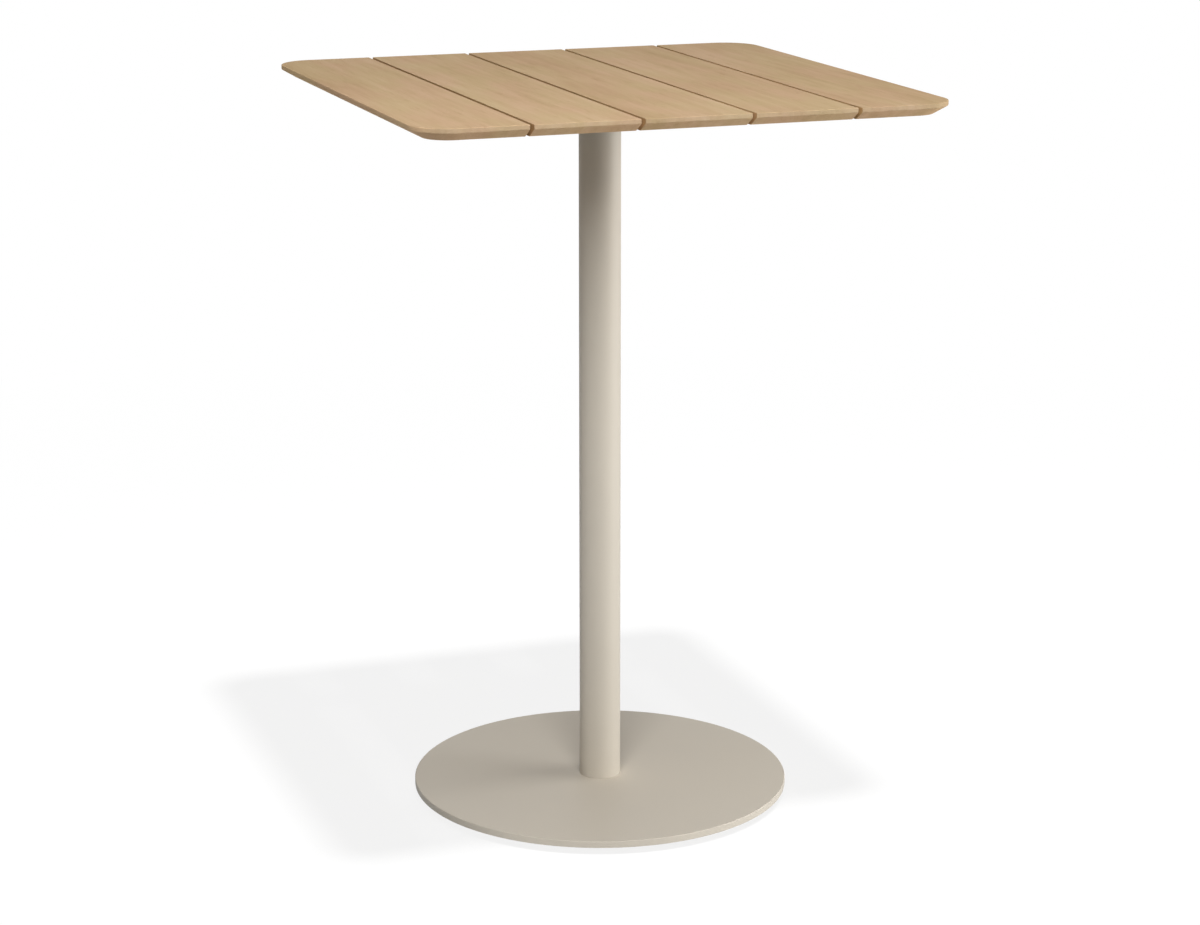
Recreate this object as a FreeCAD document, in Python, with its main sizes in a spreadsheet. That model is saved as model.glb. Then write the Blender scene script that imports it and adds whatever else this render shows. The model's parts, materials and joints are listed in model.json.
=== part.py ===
"""Outdoor bar table: five bevelled hardwood planks on a round steel pedestal.

Millimetres. The planks run along Y, +Z is up, and the origin is on the floor
under the middle of the column.
"""
import FreeCAD, Part
import os
import Sketcher

# Lengths in millimetres. Names that end in share are shares of the size named beside them.
SIZES = {
    # The whole table
    "table_height": 1050,
    "floor_gap": 10,
    "cut_overrun": 1,
    # Tabletop
    "top_side": 752,
    "top_corner_radius": 54,
    "plank_thickness": 18,
    "lip_height": 6.4,
    "lip_round": 2.5,
    "bevel_inset": 20,
    "centre_plank_width": 148.4,
    "inner_plank_width": 144.7,
    "plank_gap": 5.6,
    "gap_ease": 0.8,
    # Crossbars under the planks
    "bar_width": 40,
    "bar_thickness": 6,
    "bar_end_margin": 11.5,
    "bar_offset": 235,
    "bar_corner_radius": 8,
    # Bearers under the crossbars, folded from sheet
    "bearer_spacing": 150,
    "bearer_width": 40,
    "bearer_wall": 3,
    "bearer_bend_radius": 4.5,
    "bearer_depth": 22,
    "bearer_end_depth": 8,
    "bearer_level_length": 190,
    # Screws that hold the planks: places are shares of each plank's flat width
    "screw_radius": 2.5,
    "screw_head_radius": 5,
    "screw_head_height": 3.2,
    "screw_place_share": 0.25,
    "screw_bite_share": 0.66,
    "screw_hole_clearance": 0.4,
    "pilot_clearance": 0.05,
    "pilot_spare": 1,
    # Plate on top of the column, and its four bolts
    "flange_width": 140,
    "flange_thickness": 6,
    "flange_corner_radius": 14,
    "bolt_radius": 4,
    "bolt_offset": 48,
    "bolt_hole_clearance": 0.5,
    "bolt_head_flats": 13,
    "bolt_head_height": 5.3,
    "bolt_tip": 1.5,
    "bolt_thread_clearance": 0.05,
    "nut_height": 6.5,
    "washer_radius": 8,
    "washer_thickness": 1.6,
    "washer_clearance": 0.3,
    # Column
    "column_radius": 30,
    "column_wall": 3,
    "plug_height": 25,
    "plug_clearance": 0.1,
    "plug_chamfer": 1.5,
    # Base plate
    "base_radius": 275,
    "base_thickness": 10,
    "base_edge_chamfer": 1,
    "counterbore_radius": 16,
    "counterbore_depth": 4,
    # Bolt, washer and dowel between the base plate and the column
    "base_bolt_radius": 6,
    "base_bolt_flats": 18,
    "base_bolt_head_height": 7.5,
    "base_bolt_bite_share": 0.8,
    "base_hole_clearance": 0.5,
    "base_washer_radius": 15,
    "base_washer_thickness": 2.5,
    "dowel_radius": 3,
    "dowel_offset": 20,
    "dowel_base_depth": 5,
    "dowel_plug_depth": 9,
    "dowel_clearance": 0.05,
    "dowel_end_gap": 0.5,
    # Levelling glides
    "glide_circle_radius": 228,
    "glide_pad_radius": 18,
    "glide_pad_height": 6.6,
    "glide_pad_floor": 1.6,
    "glide_pad_taper": 2,
    "glide_pad_chamfer": 0.8,
    "glide_disc_radius": 7,
    "glide_disc_thickness": 2,
    "glide_running_clearance": 0.1,
    "glide_collar_flats": 13,
    "glide_collar_clearance": 0.3,
    "glide_stud_radius": 4,
    "glide_thread_clearance": 0.1,
    "glide_hole_skin": 2,
    "glide_hole_spare": 1.5,
    "glide_stud_chamfer": 0.8,
}

# Heights of the levels where pieces meet, each worked out from the sizes
BASE_TOP = "(sizes.floor_gap + sizes.base_thickness)"
PLANK_UNDERSIDE = "(sizes.table_height - sizes.plank_thickness)"
BAR_UNDERSIDE = f"({PLANK_UNDERSIDE} - sizes.bar_thickness)"
BEARER_UNDERSIDE = f"({BAR_UNDERSIDE} - sizes.bearer_depth)"
FLANGE_UNDERSIDE = f"({BEARER_UNDERSIDE} - sizes.flange_thickness)"

# Places of the planks across the top, measured from the middle
CENTRE_EDGE = "(sizes.centre_plank_width / 2)"
INNER_START = f"({CENTRE_EDGE} + sizes.plank_gap)"
INNER_END = f"({INNER_START} + sizes.inner_plank_width)"
OUTER_START = f"({INNER_END} + sizes.plank_gap)"
TOP_EDGE = "(sizes.top_side / 2)"
FLAT_EDGE = f"({TOP_EDGE} - sizes.bevel_inset)"

PLANK_NAMES = ("plank_1", "plank_2", "plank_3", "plank_4", "plank_5")
SIDES = (("left", -1), ("right", 1))
ENDS = (("front", -1), ("rear", 1))
CORNERS = (("front_left", 225), ("front_right", 315), ("rear_left", 135), ("rear_right", 45))

Vector = FreeCAD.Vector
doc = FreeCAD.newDocument("bar_table")
sheet = doc.addObject("Spreadsheet::Sheet", "sizes")
sub_parts = []


def fill_sheet():
    """Put each size in the sheet under its own name."""
    for row, (name, number) in enumerate(SIZES.items(), start=1):
        sheet.set(f"A{row}", name)
        sheet.set(f"B{row}", str(number))
        sheet.setAlias(f"B{row}", name)
    doc.recompute()


def value(text):
    """The number that a size expression comes to."""
    return float(sheet.evalExpression(text))


def place(item, x="0", y="0", z="0"):
    """Bind where an object stands to size expressions."""
    for axis, text in (("x", x), ("y", y), ("z", z)):
        item.setExpression(f"Placement.Base.{axis}", text)


def new_body(name):
    """An empty body under its own name."""
    body = doc.addObject("PartDesign::Body", name)
    body.Label = name
    return body


def new_sketch(body, name, role="XY_Plane", lift="0"):
    """A sketch on one of the body's own origin planes, lifted along that plane's normal."""
    sketch = body.newObject("Sketcher::SketchObject", name)
    plane = next(item for item in body.Origin.OriginFeatures if item.Role == role)
    sketch.AttachmentSupport = [(plane, "")]
    sketch.MapMode = "FlatFace"
    sketch.setExpression("AttachmentOffset.Base.z", lift)
    return sketch


def pin_point(sketch, item, point, x, y):
    """Hold a point of a sketch at two coordinates given as size expressions."""
    for kind, text, axis in (("DistanceX", x, -2), ("DistanceY", y, -1)):
        if value(text) == 0:
            sketch.addConstraint(Sketcher.Constraint("PointOnObject", item, point, axis))
        else:
            index = sketch.addConstraint(Sketcher.Constraint(kind, item, point, value(text)))
            sketch.setExpression(f"Constraints[{index}]", text)


def outline(sketch, corners):
    """A closed outline of straight lines through corners given as pairs of expressions."""
    points = [Vector(value(x), value(y), 0) for x, y in corners]
    first = len(sketch.Geometry)
    lines = [Part.LineSegment(start, end) for start, end in zip(points, points[1:] + points[:1])]
    sketch.addGeometry(lines, False)
    for number in range(len(corners)):
        following = (number + 1) % len(corners)
        sketch.addConstraint(Sketcher.Constraint("Coincident", first + number, 2, first + following, 1))
    for number, (x, y) in enumerate(corners):
        pin_point(sketch, first + number, 1, x, y)


def circle(sketch, radius, x="0", y="0"):
    """A circle whose centre and radius follow the sizes."""
    centre = Vector(value(x), value(y), 0)
    item = sketch.addGeometry(Part.Circle(centre, Vector(0, 0, 1), value(radius)), False)
    pin_point(sketch, item, 3, x, y)
    index = sketch.addConstraint(Sketcher.Constraint("Radius", item, value(radius)))
    sketch.setExpression(f"Constraints[{index}]", radius)


def rectangle(half_x, half_y):
    """The four corners of a rectangle about the sketch's origin."""
    return [(f"-{half_x}", f"-{half_y}"), (half_x, f"-{half_y}"),
            (half_x, half_y), (f"-{half_x}", half_y)]


def hexagon(flats, x="0", y="0"):
    """The six corners of a hexagon, given its size across flats."""
    corners = []
    for number in range(6):
        turn = f"{60 * number} deg"
        reach = f"{flats} / 2 / cos(30 deg)"
        corners.append((f"{x} + {reach} * cos({turn})", f"{y} + {reach} * sin({turn})"))
    return corners


def pad(body, sketch, name, length, down=False):
    """Thicken a sketch by a bound length."""
    feature = body.newObject("PartDesign::Pad", name)
    feature.Profile = sketch
    feature.setExpression("Length", length)
    feature.Reversed = down
    doc.recompute()
    return feature


def pocket(body, sketch, name, depth=None, upward=False):
    """Cut a sketch out of the body, to a depth or right through both ways, and see that it cuts."""
    before = body.Shape.Volume
    feature = body.newObject("PartDesign::Pocket", name)
    feature.Profile = sketch
    if depth is None:
        feature.Type = "ThroughAll"
        feature.SideType = "Symmetric"
    else:
        feature.setExpression("Length", depth)
        feature.Reversed = upward
    doc.recompute()
    if not body.Shape.Volume < before:
        raise RuntimeError(f"{body.Label}: {name} cut nothing")
    return feature


def revolve(body, sketch, name):
    """Turn a profile a full turn about the sketch's upright axis."""
    feature = body.newObject("PartDesign::Revolution", name)
    feature.Profile = sketch
    feature.ReferenceAxis = (sketch, ["V_Axis"])
    feature.Angle = 360
    doc.recompute()
    return feature


def edges_where(shape, test):
    """Names of the edges that pass a test on their bounding box."""
    return [f"Edge{number}" for number, edge in enumerate(shape.Edges, start=1) if test(edge.BoundBox)]


def fillet(body, base, name, edges, radius):
    """Round the named edges by a bound radius."""
    feature = body.newObject("PartDesign::Fillet", name)
    feature.Base = (base, edges)
    feature.setExpression("Radius", radius)
    doc.recompute()
    return feature


def chamfer(body, base, name, edges, size, other_size=None):
    """Bevel the named edges, alike both ways or by two distances."""
    feature = body.newObject("PartDesign::Chamfer", name)
    feature.Base = (base, edges)
    if other_size is not None:
        feature.ChamferType = "Two distances"
        feature.setExpression("Size2", other_size)
    feature.setExpression("Size", size)
    doc.recompute()
    return feature


def mirror_whole(body, name, role):
    """Add a mirror image of everything the body holds so far."""
    feature = body.newObject("PartDesign::Mirrored", name)
    plane = next(item for item in body.Origin.OriginFeatures if item.Role == role)
    feature.MirrorPlane = (plane, [""])
    feature.TransformMode = "Whole shape"
    body.Tip = feature
    doc.recompute()
    return feature


def upright_edges(shape):
    """Names of the straight edges that stand on the outline's corners."""
    return edges_where(shape, lambda box: box.ZLength > max(box.XLength, box.YLength))


def screw_places():
    """Where the screws stand on the right-hand half, as distances from the middle."""
    def pair(start, end):
        middle = f"({start} + {end}) / 2"
        step = f"({end} - {start}) * sizes.screw_place_share"
        return [f"{middle} - {step}", f"{middle} + {step}"]
    centre = ["sizes.centre_plank_width * sizes.screw_place_share"]
    return centre + pair(INNER_START, INNER_END) + pair(OUTER_START, FLAT_EDGE)


def make_top_form():
    """The whole top before it is parted: bevelled, rounded, sawn and drilled."""
    body = new_body("top_form")
    place(body, z=PLANK_UNDERSIDE)
    square = new_sketch(body, "top_outline")
    outline(square, rectangle("sizes.top_side / 2", "sizes.top_side / 2"))
    board = pad(body, square, "board", "sizes.plank_thickness")
    corners = fillet(body, board, "plan_corners", upright_edges(board.Shape), "sizes.top_corner_radius")

    underside = edges_where(corners.Shape, lambda box: box.ZMax < value("sizes.lip_round"))
    bevel = chamfer(body, corners, "underside_bevel", underside,
                    "sizes.plank_thickness - sizes.lip_height", "sizes.bevel_inset")
    top_level = value("sizes.plank_thickness - sizes.lip_round / 2")
    rim = edges_where(bevel.Shape, lambda box: box.ZMin > top_level)
    fillet(body, bevel, "lip_rounding", rim, "sizes.lip_round")

    saw_lines = new_sketch(body, "saw_lines", "XZ_Plane")
    for start, end in ((CENTRE_EDGE, INNER_START), (INNER_END, OUTER_START)):
        for side in ("", "-"):
            outline(saw_lines, saw_cut(f"{side}({start} + {end}) / 2"))
    pocket(body, saw_lines, "saw_cuts")

    pilots = new_sketch(body, "pilot_places")
    for x in screw_places():
        for x_side in ("", "-"):
            for y_side in ("", "-"):
                circle(pilots, "sizes.screw_radius + sizes.pilot_clearance",
                       f"{x_side}({x})", f"{y_side}sizes.bar_offset")
    pocket(body, pilots, "pilot_holes",
           "sizes.plank_thickness * sizes.screw_bite_share + sizes.pilot_spare", upward=True)
    return body


def saw_cut(middle):
    """Section of one gap between planks: a slot that flares at the top and bottom face."""
    half = "sizes.plank_gap / 2"
    flare = f"{half} + sizes.gap_ease + sizes.cut_overrun"
    top = "sizes.plank_thickness"
    heights = (("-sizes.cut_overrun", flare), ("sizes.gap_ease", half),
               (f"{top} - sizes.gap_ease", half), (f"{top} + sizes.cut_overrun", flare))
    right = [(f"{middle} + ({reach})", height) for height, reach in heights]
    left = [(f"{middle} - ({reach})", height) for height, reach in reversed(heights)]
    return right + left


def make_planks(form):
    """Part the top into its five planks, each taken out by a slab that runs to the middle of its gaps."""
    inner_line = f"({CENTRE_EDGE} + {INNER_START}) / 2"
    outer_line = f"({INNER_END} + {OUTER_START}) / 2"
    rim = f"{TOP_EDGE} + sizes.cut_overrun"
    lines = [f"-({rim})", f"-({outer_line})", f"-({inner_line})", inner_line, outer_line, rim]
    for name, start, end in zip(PLANK_NAMES, lines, lines[1:]):
        slab = doc.addObject("Part::Box", f"{name}_slab")
        slab.setExpression("Length", f"({end}) - ({start})")
        slab.setExpression("Width", f"2 * ({rim})")
        slab.setExpression("Height", "sizes.plank_thickness + 2 * sizes.cut_overrun")
        place(slab, start, f"-({rim})", f"{PLANK_UNDERSIDE} - sizes.cut_overrun")
        plank = doc.addObject("Part::Common", name)
        plank.Label = name
        plank.Base = form
        plank.Tool = slab
        sub_parts.append(plank)


def make_crossbar(end, side):
    """A flat bar with round corners and ten screw holes, ending a little past its outermost screws."""
    body = new_body(f"crossbar_{end}")
    place(body, y=f"{side} * sizes.bar_offset", z=BAR_UNDERSIDE)
    plan = new_sketch(body, f"{end}_bar_outline")
    outermost = screw_places()[-1]
    outline(plan, rectangle(f"({outermost} + sizes.bar_end_margin)", "sizes.bar_width / 2"))
    bar = pad(body, plan, f"{end}_bar", "sizes.bar_thickness")
    fillet(body, bar, f"{end}_bar_corners", upright_edges(bar.Shape), "sizes.bar_corner_radius")
    holes = new_sketch(body, f"{end}_bar_hole_places")
    for x in screw_places():
        for x_side in ("", "-"):
            circle(holes, "sizes.screw_radius + sizes.screw_hole_clearance", f"{x_side}({x})")
    pocket(body, holes, f"{end}_bar_holes")
    sub_parts.append(body)


def make_bearer(name, side):
    """A channel folded from sheet, open upward, whose web rises towards both ends."""
    body = new_body(f"bearer_{name}")
    place(body, x=f"{side} * sizes.bearer_spacing / 2", z=BEARER_UNDERSIDE)
    half_length = "(sizes.bar_offset + sizes.bar_width / 2)"
    half_level = "(sizes.bearer_level_length / 2)"
    rise = "(sizes.bearer_depth - sizes.bearer_end_depth)"

    face = new_sketch(body, f"{name}_bearer_side", "YZ_Plane")
    outline(face, [(f"-{half_level}", "0"), (half_level, "0"), (half_length, rise),
                   (half_length, "sizes.bearer_depth"), (f"-{half_length}", "sizes.bearer_depth"),
                   (f"-{half_length}", rise)])
    block = pad(body, face, f"{name}_bearer_block", "sizes.bearer_width")
    block.SideType = "Symmetric"
    doc.recompute()

    slope_length = value(half_level)
    low = edges_where(block.Shape, lambda box: box.YLength > slope_length / 2
                      and box.ZMin < value(f"{rise} / 2"))
    bend = fillet(body, block, f"{name}_bearer_bends", low, "sizes.bearer_bend_radius")

    inside = new_sketch(body, f"{name}_bearer_inside", "YZ_Plane")
    slope = f"({rise} / ({half_length} - {half_level}))"
    overrun_rise = f"({rise} + {slope} * sizes.cut_overrun)"
    far = f"({half_length} + sizes.cut_overrun)"
    open_top = "(sizes.bearer_depth + sizes.cut_overrun)"
    outline(inside, [(f"-{half_level}", "sizes.bearer_wall"), (half_level, "sizes.bearer_wall"),
                     (far, f"{overrun_rise} + sizes.bearer_wall"), (far, open_top),
                     (f"-{far}", open_top), (f"-{far}", f"{overrun_rise} + sizes.bearer_wall")])
    hollow = pocket(body, inside, f"{name}_bearer_hollow", "sizes.bearer_width - 2 * sizes.bearer_wall")
    hollow.SideType = "Symmetric"
    doc.recompute()

    holes = new_sketch(body, f"{name}_bearer_hole_places")
    for y_side in ("", "-"):
        circle(holes, "sizes.bolt_radius + sizes.bolt_hole_clearance", y=f"{y_side}sizes.bolt_offset")
    pocket(body, holes, f"{name}_bearer_holes", "sizes.bearer_wall + sizes.cut_overrun", upward=True)
    sub_parts.append(body)


def make_column_flange():
    """The plate on top of the column, as wide as the two bearers that lie on it."""
    body = new_body("column_flange")
    place(body, z=FLANGE_UNDERSIDE)
    plan = new_sketch(body, "flange_outline")
    outline(plan, rectangle("(sizes.bearer_spacing + sizes.bearer_width) / 2", "sizes.flange_width / 2"))
    plate = pad(body, plan, "flange_plate", "sizes.flange_thickness")
    fillet(body, plate, "flange_corners", upright_edges(plate.Shape), "sizes.flange_corner_radius")
    holes = new_sketch(body, "flange_hole_places")
    for x_side in ("", "-"):
        for y_side in ("", "-"):
            circle(holes, "sizes.bolt_radius + sizes.bolt_hole_clearance",
                   f"{x_side}sizes.bearer_spacing / 2", f"{y_side}sizes.bolt_offset")
    pocket(body, holes, "flange_holes")
    sub_parts.append(body)


def make_column_tube():
    """The round column, from the base plate up to the flange."""
    body = new_body("column_tube")
    place(body, z=BASE_TOP)
    ring = new_sketch(body, "tube_section")
    circle(ring, "sizes.column_radius")
    circle(ring, "sizes.column_radius - sizes.column_wall")
    pad(body, ring, "tube", f"{FLANGE_UNDERSIDE} - {BASE_TOP}")
    sub_parts.append(body)


def make_column_plug():
    """The threaded plug inside the foot of the column, with a hole for the dowel."""
    body = new_body("column_plug")
    place(body, z=BASE_TOP)
    bore = "sizes.base_bolt_radius + sizes.bolt_thread_clearance"
    rim = "(sizes.column_radius - sizes.column_wall - sizes.plug_clearance)"
    profile = new_sketch(body, "plug_profile", "XZ_Plane")
    outline(profile, [(bore, "0"), (rim, "0"), (rim, "sizes.plug_height - sizes.plug_chamfer"),
                      (f"{rim} - sizes.plug_chamfer", "sizes.plug_height"), (bore, "sizes.plug_height")])
    revolve(body, profile, "plug")
    spot = new_sketch(body, "plug_dowel_place")
    circle(spot, "sizes.dowel_radius + sizes.dowel_clearance", "sizes.dowel_offset")
    pocket(body, spot, "plug_dowel_hole", "sizes.dowel_plug_depth + sizes.dowel_end_gap", upward=True)
    sub_parts.append(body)


def make_base_plate():
    """The round foot: a bevelled rim, a counterbored hole, and blind holes for the glides and the dowel."""
    body = new_body("base_plate")
    place(body, z="sizes.floor_gap")
    hole = "sizes.base_bolt_radius + sizes.base_hole_clearance"
    profile = new_sketch(body, "base_profile", "XZ_Plane")
    outline(profile, [("sizes.counterbore_radius", "0"), ("sizes.base_radius", "0"),
                      ("sizes.base_radius", "sizes.base_thickness"), (hole, "sizes.base_thickness"),
                      (hole, "sizes.counterbore_depth"),
                      ("sizes.counterbore_radius", "sizes.counterbore_depth")])
    disc = revolve(body, profile, "base_disc")
    rim = edges_where(disc.Shape, lambda box: box.XLength > value("sizes.base_radius")
                      and box.ZMin > value("sizes.base_thickness / 2"))
    chamfer(body, disc, "base_rim", rim, "sizes.base_edge_chamfer")

    spots = new_sketch(body, "glide_hole_places")
    for _, turn in CORNERS:
        circle(spots, "sizes.glide_stud_radius + sizes.glide_thread_clearance",
               f"sizes.glide_circle_radius * cos({turn} deg)", f"sizes.glide_circle_radius * sin({turn} deg)")
    pocket(body, spots, "glide_holes", "sizes.base_thickness - sizes.glide_hole_skin", upward=True)

    spot = new_sketch(body, "base_dowel_place", lift="sizes.base_thickness")
    circle(spot, "sizes.dowel_radius + sizes.dowel_clearance", "sizes.dowel_offset")
    pocket(body, spot, "base_dowel_hole", "sizes.dowel_base_depth + sizes.dowel_end_gap")
    sub_parts.append(body)


def make_base_fasteners():
    """The bolt and washer under the base plate, and the dowel that stops the column turning."""
    seat = "(sizes.floor_gap + sizes.counterbore_depth)"
    washer = new_body("base_washer")
    place(washer, z=f"{seat} - sizes.base_washer_thickness")
    ring = new_sketch(washer, "base_washer_ring")
    circle(ring, "sizes.base_washer_radius")
    circle(ring, "sizes.base_bolt_radius + sizes.base_hole_clearance")
    pad(washer, ring, "base_washer_disc", "sizes.base_washer_thickness")
    sub_parts.append(washer)

    bolt = new_body("base_bolt")
    place(bolt, z=f"{seat} - sizes.base_washer_thickness")
    shank = new_sketch(bolt, "base_bolt_shank")
    circle(shank, "sizes.base_bolt_radius")
    reach = "sizes.base_washer_thickness + sizes.base_thickness - sizes.counterbore_depth"
    pad(bolt, shank, "base_bolt_thread", f"{reach} + sizes.plug_height * sizes.base_bolt_bite_share")
    head = new_sketch(bolt, "base_bolt_head")
    outline(head, hexagon("sizes.base_bolt_flats"))
    pad(bolt, head, "base_bolt_hexagon", "sizes.base_bolt_head_height", down=True)
    sub_parts.append(bolt)

    dowel = new_body("base_dowel")
    place(dowel, x="sizes.dowel_offset", z=f"{BASE_TOP} - sizes.dowel_base_depth")
    round_bar = new_sketch(dowel, "dowel_section")
    circle(round_bar, "sizes.dowel_radius")
    pad(dowel, round_bar, "dowel_pin", "sizes.dowel_base_depth + sizes.dowel_plug_depth")
    sub_parts.append(dowel)


def make_flange_set():
    """Four bolts up through the flange and the bearers, each with a washer and a nut."""
    x = "sizes.bearer_spacing / 2"
    y = "sizes.bolt_offset"

    bolts = new_body("flange_bolts")
    place(bolts, z=f"{FLANGE_UNDERSIDE} - sizes.washer_thickness")
    shank = new_sketch(bolts, "flange_bolt_shank")
    circle(shank, "sizes.bolt_radius", x, y)
    grip = "sizes.washer_thickness + sizes.flange_thickness + sizes.bearer_wall"
    pad(bolts, shank, "flange_bolt_thread", f"{grip} + sizes.nut_height + sizes.bolt_tip")
    head = new_sketch(bolts, "flange_bolt_head")
    outline(head, hexagon("sizes.bolt_head_flats", x, y))
    pad(bolts, head, "flange_bolt_hexagon", "sizes.bolt_head_height", down=True)
    mirror_whole(bolts, "flange_bolts_both_sides", "YZ_Plane")
    mirror_whole(bolts, "flange_bolts_both_ends", "XZ_Plane")
    sub_parts.append(bolts)

    washers = new_body("flange_washers")
    place(washers, z=f"{FLANGE_UNDERSIDE} - sizes.washer_thickness")
    ring = new_sketch(washers, "flange_washer_ring")
    circle(ring, "sizes.washer_radius", x, y)
    circle(ring, "sizes.bolt_radius + sizes.washer_clearance", x, y)
    pad(washers, ring, "flange_washer", "sizes.washer_thickness")
    mirror_whole(washers, "flange_washers_both_sides", "YZ_Plane")
    mirror_whole(washers, "flange_washers_both_ends", "XZ_Plane")
    sub_parts.append(washers)

    nuts = new_body("flange_nuts")
    place(nuts, z=f"{BEARER_UNDERSIDE} + sizes.bearer_wall")
    hexes = new_sketch(nuts, "flange_nut_section")
    outline(hexes, hexagon("sizes.bolt_head_flats", x, y))
    circle(hexes, "sizes.bolt_radius + sizes.bolt_thread_clearance", x, y)
    pad(nuts, hexes, "flange_nut", "sizes.nut_height")
    mirror_whole(nuts, "flange_nuts_both_sides", "YZ_Plane")
    mirror_whole(nuts, "flange_nuts_both_ends", "XZ_Plane")
    sub_parts.append(nuts)


def make_plank_screws(end, side):
    """Ten round-headed screws up through a crossbar into the planks."""
    body = new_body(f"plank_screws_{end}")
    place(body, y=f"{side} * sizes.bar_offset", z=BAR_UNDERSIDE)
    heads = new_sketch(body, f"{end}_screw_heads")
    shanks = new_sketch(body, f"{end}_screw_shanks")
    for x in screw_places():
        circle(heads, "sizes.screw_head_radius", x)
        circle(shanks, "sizes.screw_radius", x)
    pad(body, heads, f"{end}_screw_head", "sizes.screw_head_height", down=True)
    pad(body, shanks, f"{end}_screw_shank",
        "sizes.bar_thickness + sizes.plank_thickness * sizes.screw_bite_share")
    mirror_whole(body, f"{end}_screws_both_sides", "YZ_Plane")
    sub_parts.append(body)


def make_glide(corner, turn):
    """One levelling glide: a pad on the floor, and a stud whose disc turns inside the pad."""
    x = f"sizes.glide_circle_radius * cos({turn} deg)"
    y = f"sizes.glide_circle_radius * sin({turn} deg)"
    slack = "sizes.glide_running_clearance"
    disc_low = f"(sizes.glide_pad_floor + {slack})"
    disc_high = f"({disc_low} + sizes.glide_disc_thickness)"
    collar_low = "(sizes.glide_pad_height + sizes.glide_collar_clearance)"
    collar_high = "(sizes.floor_gap - sizes.glide_collar_clearance)"
    stud_top = f"({BASE_TOP} - sizes.glide_hole_skin - sizes.glide_hole_spare)"

    pad_body = new_body(f"glide_pad_{corner}")
    place(pad_body, x, y)
    section = new_sketch(pad_body, f"{corner}_pad_section", "XZ_Plane")
    socket = f"sizes.glide_disc_radius + {slack}"
    neck = f"sizes.glide_stud_radius + {slack}"
    outline(section, [
        ("0", "0"), ("sizes.glide_pad_radius - sizes.glide_pad_chamfer", "0"),
        ("sizes.glide_pad_radius", "sizes.glide_pad_chamfer"),
        ("sizes.glide_pad_radius - sizes.glide_pad_taper", "sizes.glide_pad_height"),
        (neck, "sizes.glide_pad_height"), (neck, f"{disc_high} + {slack}"),
        (socket, f"{disc_high} + {slack}"), (socket, "sizes.glide_pad_floor"),
        ("0", "sizes.glide_pad_floor")])
    revolve(pad_body, section, f"{corner}_pad")
    sub_parts.append(pad_body)

    stud = new_body(f"glide_stud_{corner}")
    place(stud, x, y)
    profile = new_sketch(stud, f"{corner}_stud_profile", "XZ_Plane")
    tip = "(sizes.glide_stud_radius - sizes.glide_stud_chamfer)"
    outline(profile, [
        ("0", disc_low), ("sizes.glide_disc_radius", disc_low), ("sizes.glide_disc_radius", disc_high),
        ("sizes.glide_stud_radius", disc_high),
        ("sizes.glide_stud_radius", f"{stud_top} - sizes.glide_stud_chamfer"),
        (tip, stud_top), ("0", stud_top)])
    revolve(stud, profile, f"{corner}_stud")
    collar = new_sketch(stud, f"{corner}_collar_section", lift=collar_low)
    outline(collar, hexagon("sizes.glide_collar_flats"))
    pad(stud, collar, f"{corner}_collar", f"{collar_high} - {collar_low}")
    sub_parts.append(stud)


def check_and_write():
    """See that every object is sound, then write each sub-part to a file of its own."""
    doc.recompute()
    for item in doc.Objects:
        if "Invalid" in item.State or "Error" in item.State:
            raise RuntimeError(f"{item.Label} failed: {item.State}")
    os.makedirs("parts", exist_ok=True)
    for part in sub_parts:
        if part.Shape.isNull() or not part.Shape.isValid():
            raise RuntimeError(f"{part.Label} has no valid shape")
    for part in sub_parts:
        part.Shape.exportStep(f"parts/{part.Label}.step")
        box = part.Shape.BoundBox
        heights = f"z {box.ZMin:.1f} to {box.ZMax:.1f}"
        print(f"{part.Label}: {len(part.Shape.Solids)} solids, {heights}, {part.Shape.Volume:.0f} mm3")


fill_sheet()
make_planks(make_top_form())
for end_name, end_side in ENDS:
    make_crossbar(end_name, end_side)
    make_plank_screws(end_name, end_side)
for side_name, side_sign in SIDES:
    make_bearer(side_name, side_sign)
make_column_flange()
make_flange_set()
make_column_tube()
make_column_plug()
make_base_plate()
make_base_fasteners()
for corner_name, corner_turn in CORNERS:
    make_glide(corner_name, corner_turn)
check_and_write()
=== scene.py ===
"""Outdoor bar table: the finish and the fine shapes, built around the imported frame.

Metres, in the frame's own axes: the planks run along Y, +Z is up and the floor is at zero.
"""

import json
import math

import bmesh
import bpy
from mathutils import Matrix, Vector

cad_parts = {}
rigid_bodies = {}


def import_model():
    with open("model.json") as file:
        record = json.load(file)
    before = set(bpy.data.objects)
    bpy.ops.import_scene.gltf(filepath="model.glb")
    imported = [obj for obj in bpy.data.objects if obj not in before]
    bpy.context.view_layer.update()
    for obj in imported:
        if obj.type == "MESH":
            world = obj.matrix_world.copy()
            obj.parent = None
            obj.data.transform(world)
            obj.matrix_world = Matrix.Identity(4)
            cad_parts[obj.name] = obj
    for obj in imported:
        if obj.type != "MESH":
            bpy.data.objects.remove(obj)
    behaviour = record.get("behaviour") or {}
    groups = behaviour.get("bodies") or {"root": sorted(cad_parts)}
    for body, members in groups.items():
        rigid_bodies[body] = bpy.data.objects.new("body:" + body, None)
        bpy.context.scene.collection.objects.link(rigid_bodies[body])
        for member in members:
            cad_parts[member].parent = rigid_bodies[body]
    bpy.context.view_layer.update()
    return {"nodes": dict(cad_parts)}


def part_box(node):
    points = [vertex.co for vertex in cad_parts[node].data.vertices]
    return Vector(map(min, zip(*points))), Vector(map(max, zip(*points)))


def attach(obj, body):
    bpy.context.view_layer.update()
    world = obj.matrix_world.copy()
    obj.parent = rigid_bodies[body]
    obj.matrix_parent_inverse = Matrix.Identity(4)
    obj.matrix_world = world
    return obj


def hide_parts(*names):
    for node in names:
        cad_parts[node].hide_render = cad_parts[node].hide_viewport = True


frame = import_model()

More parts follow.
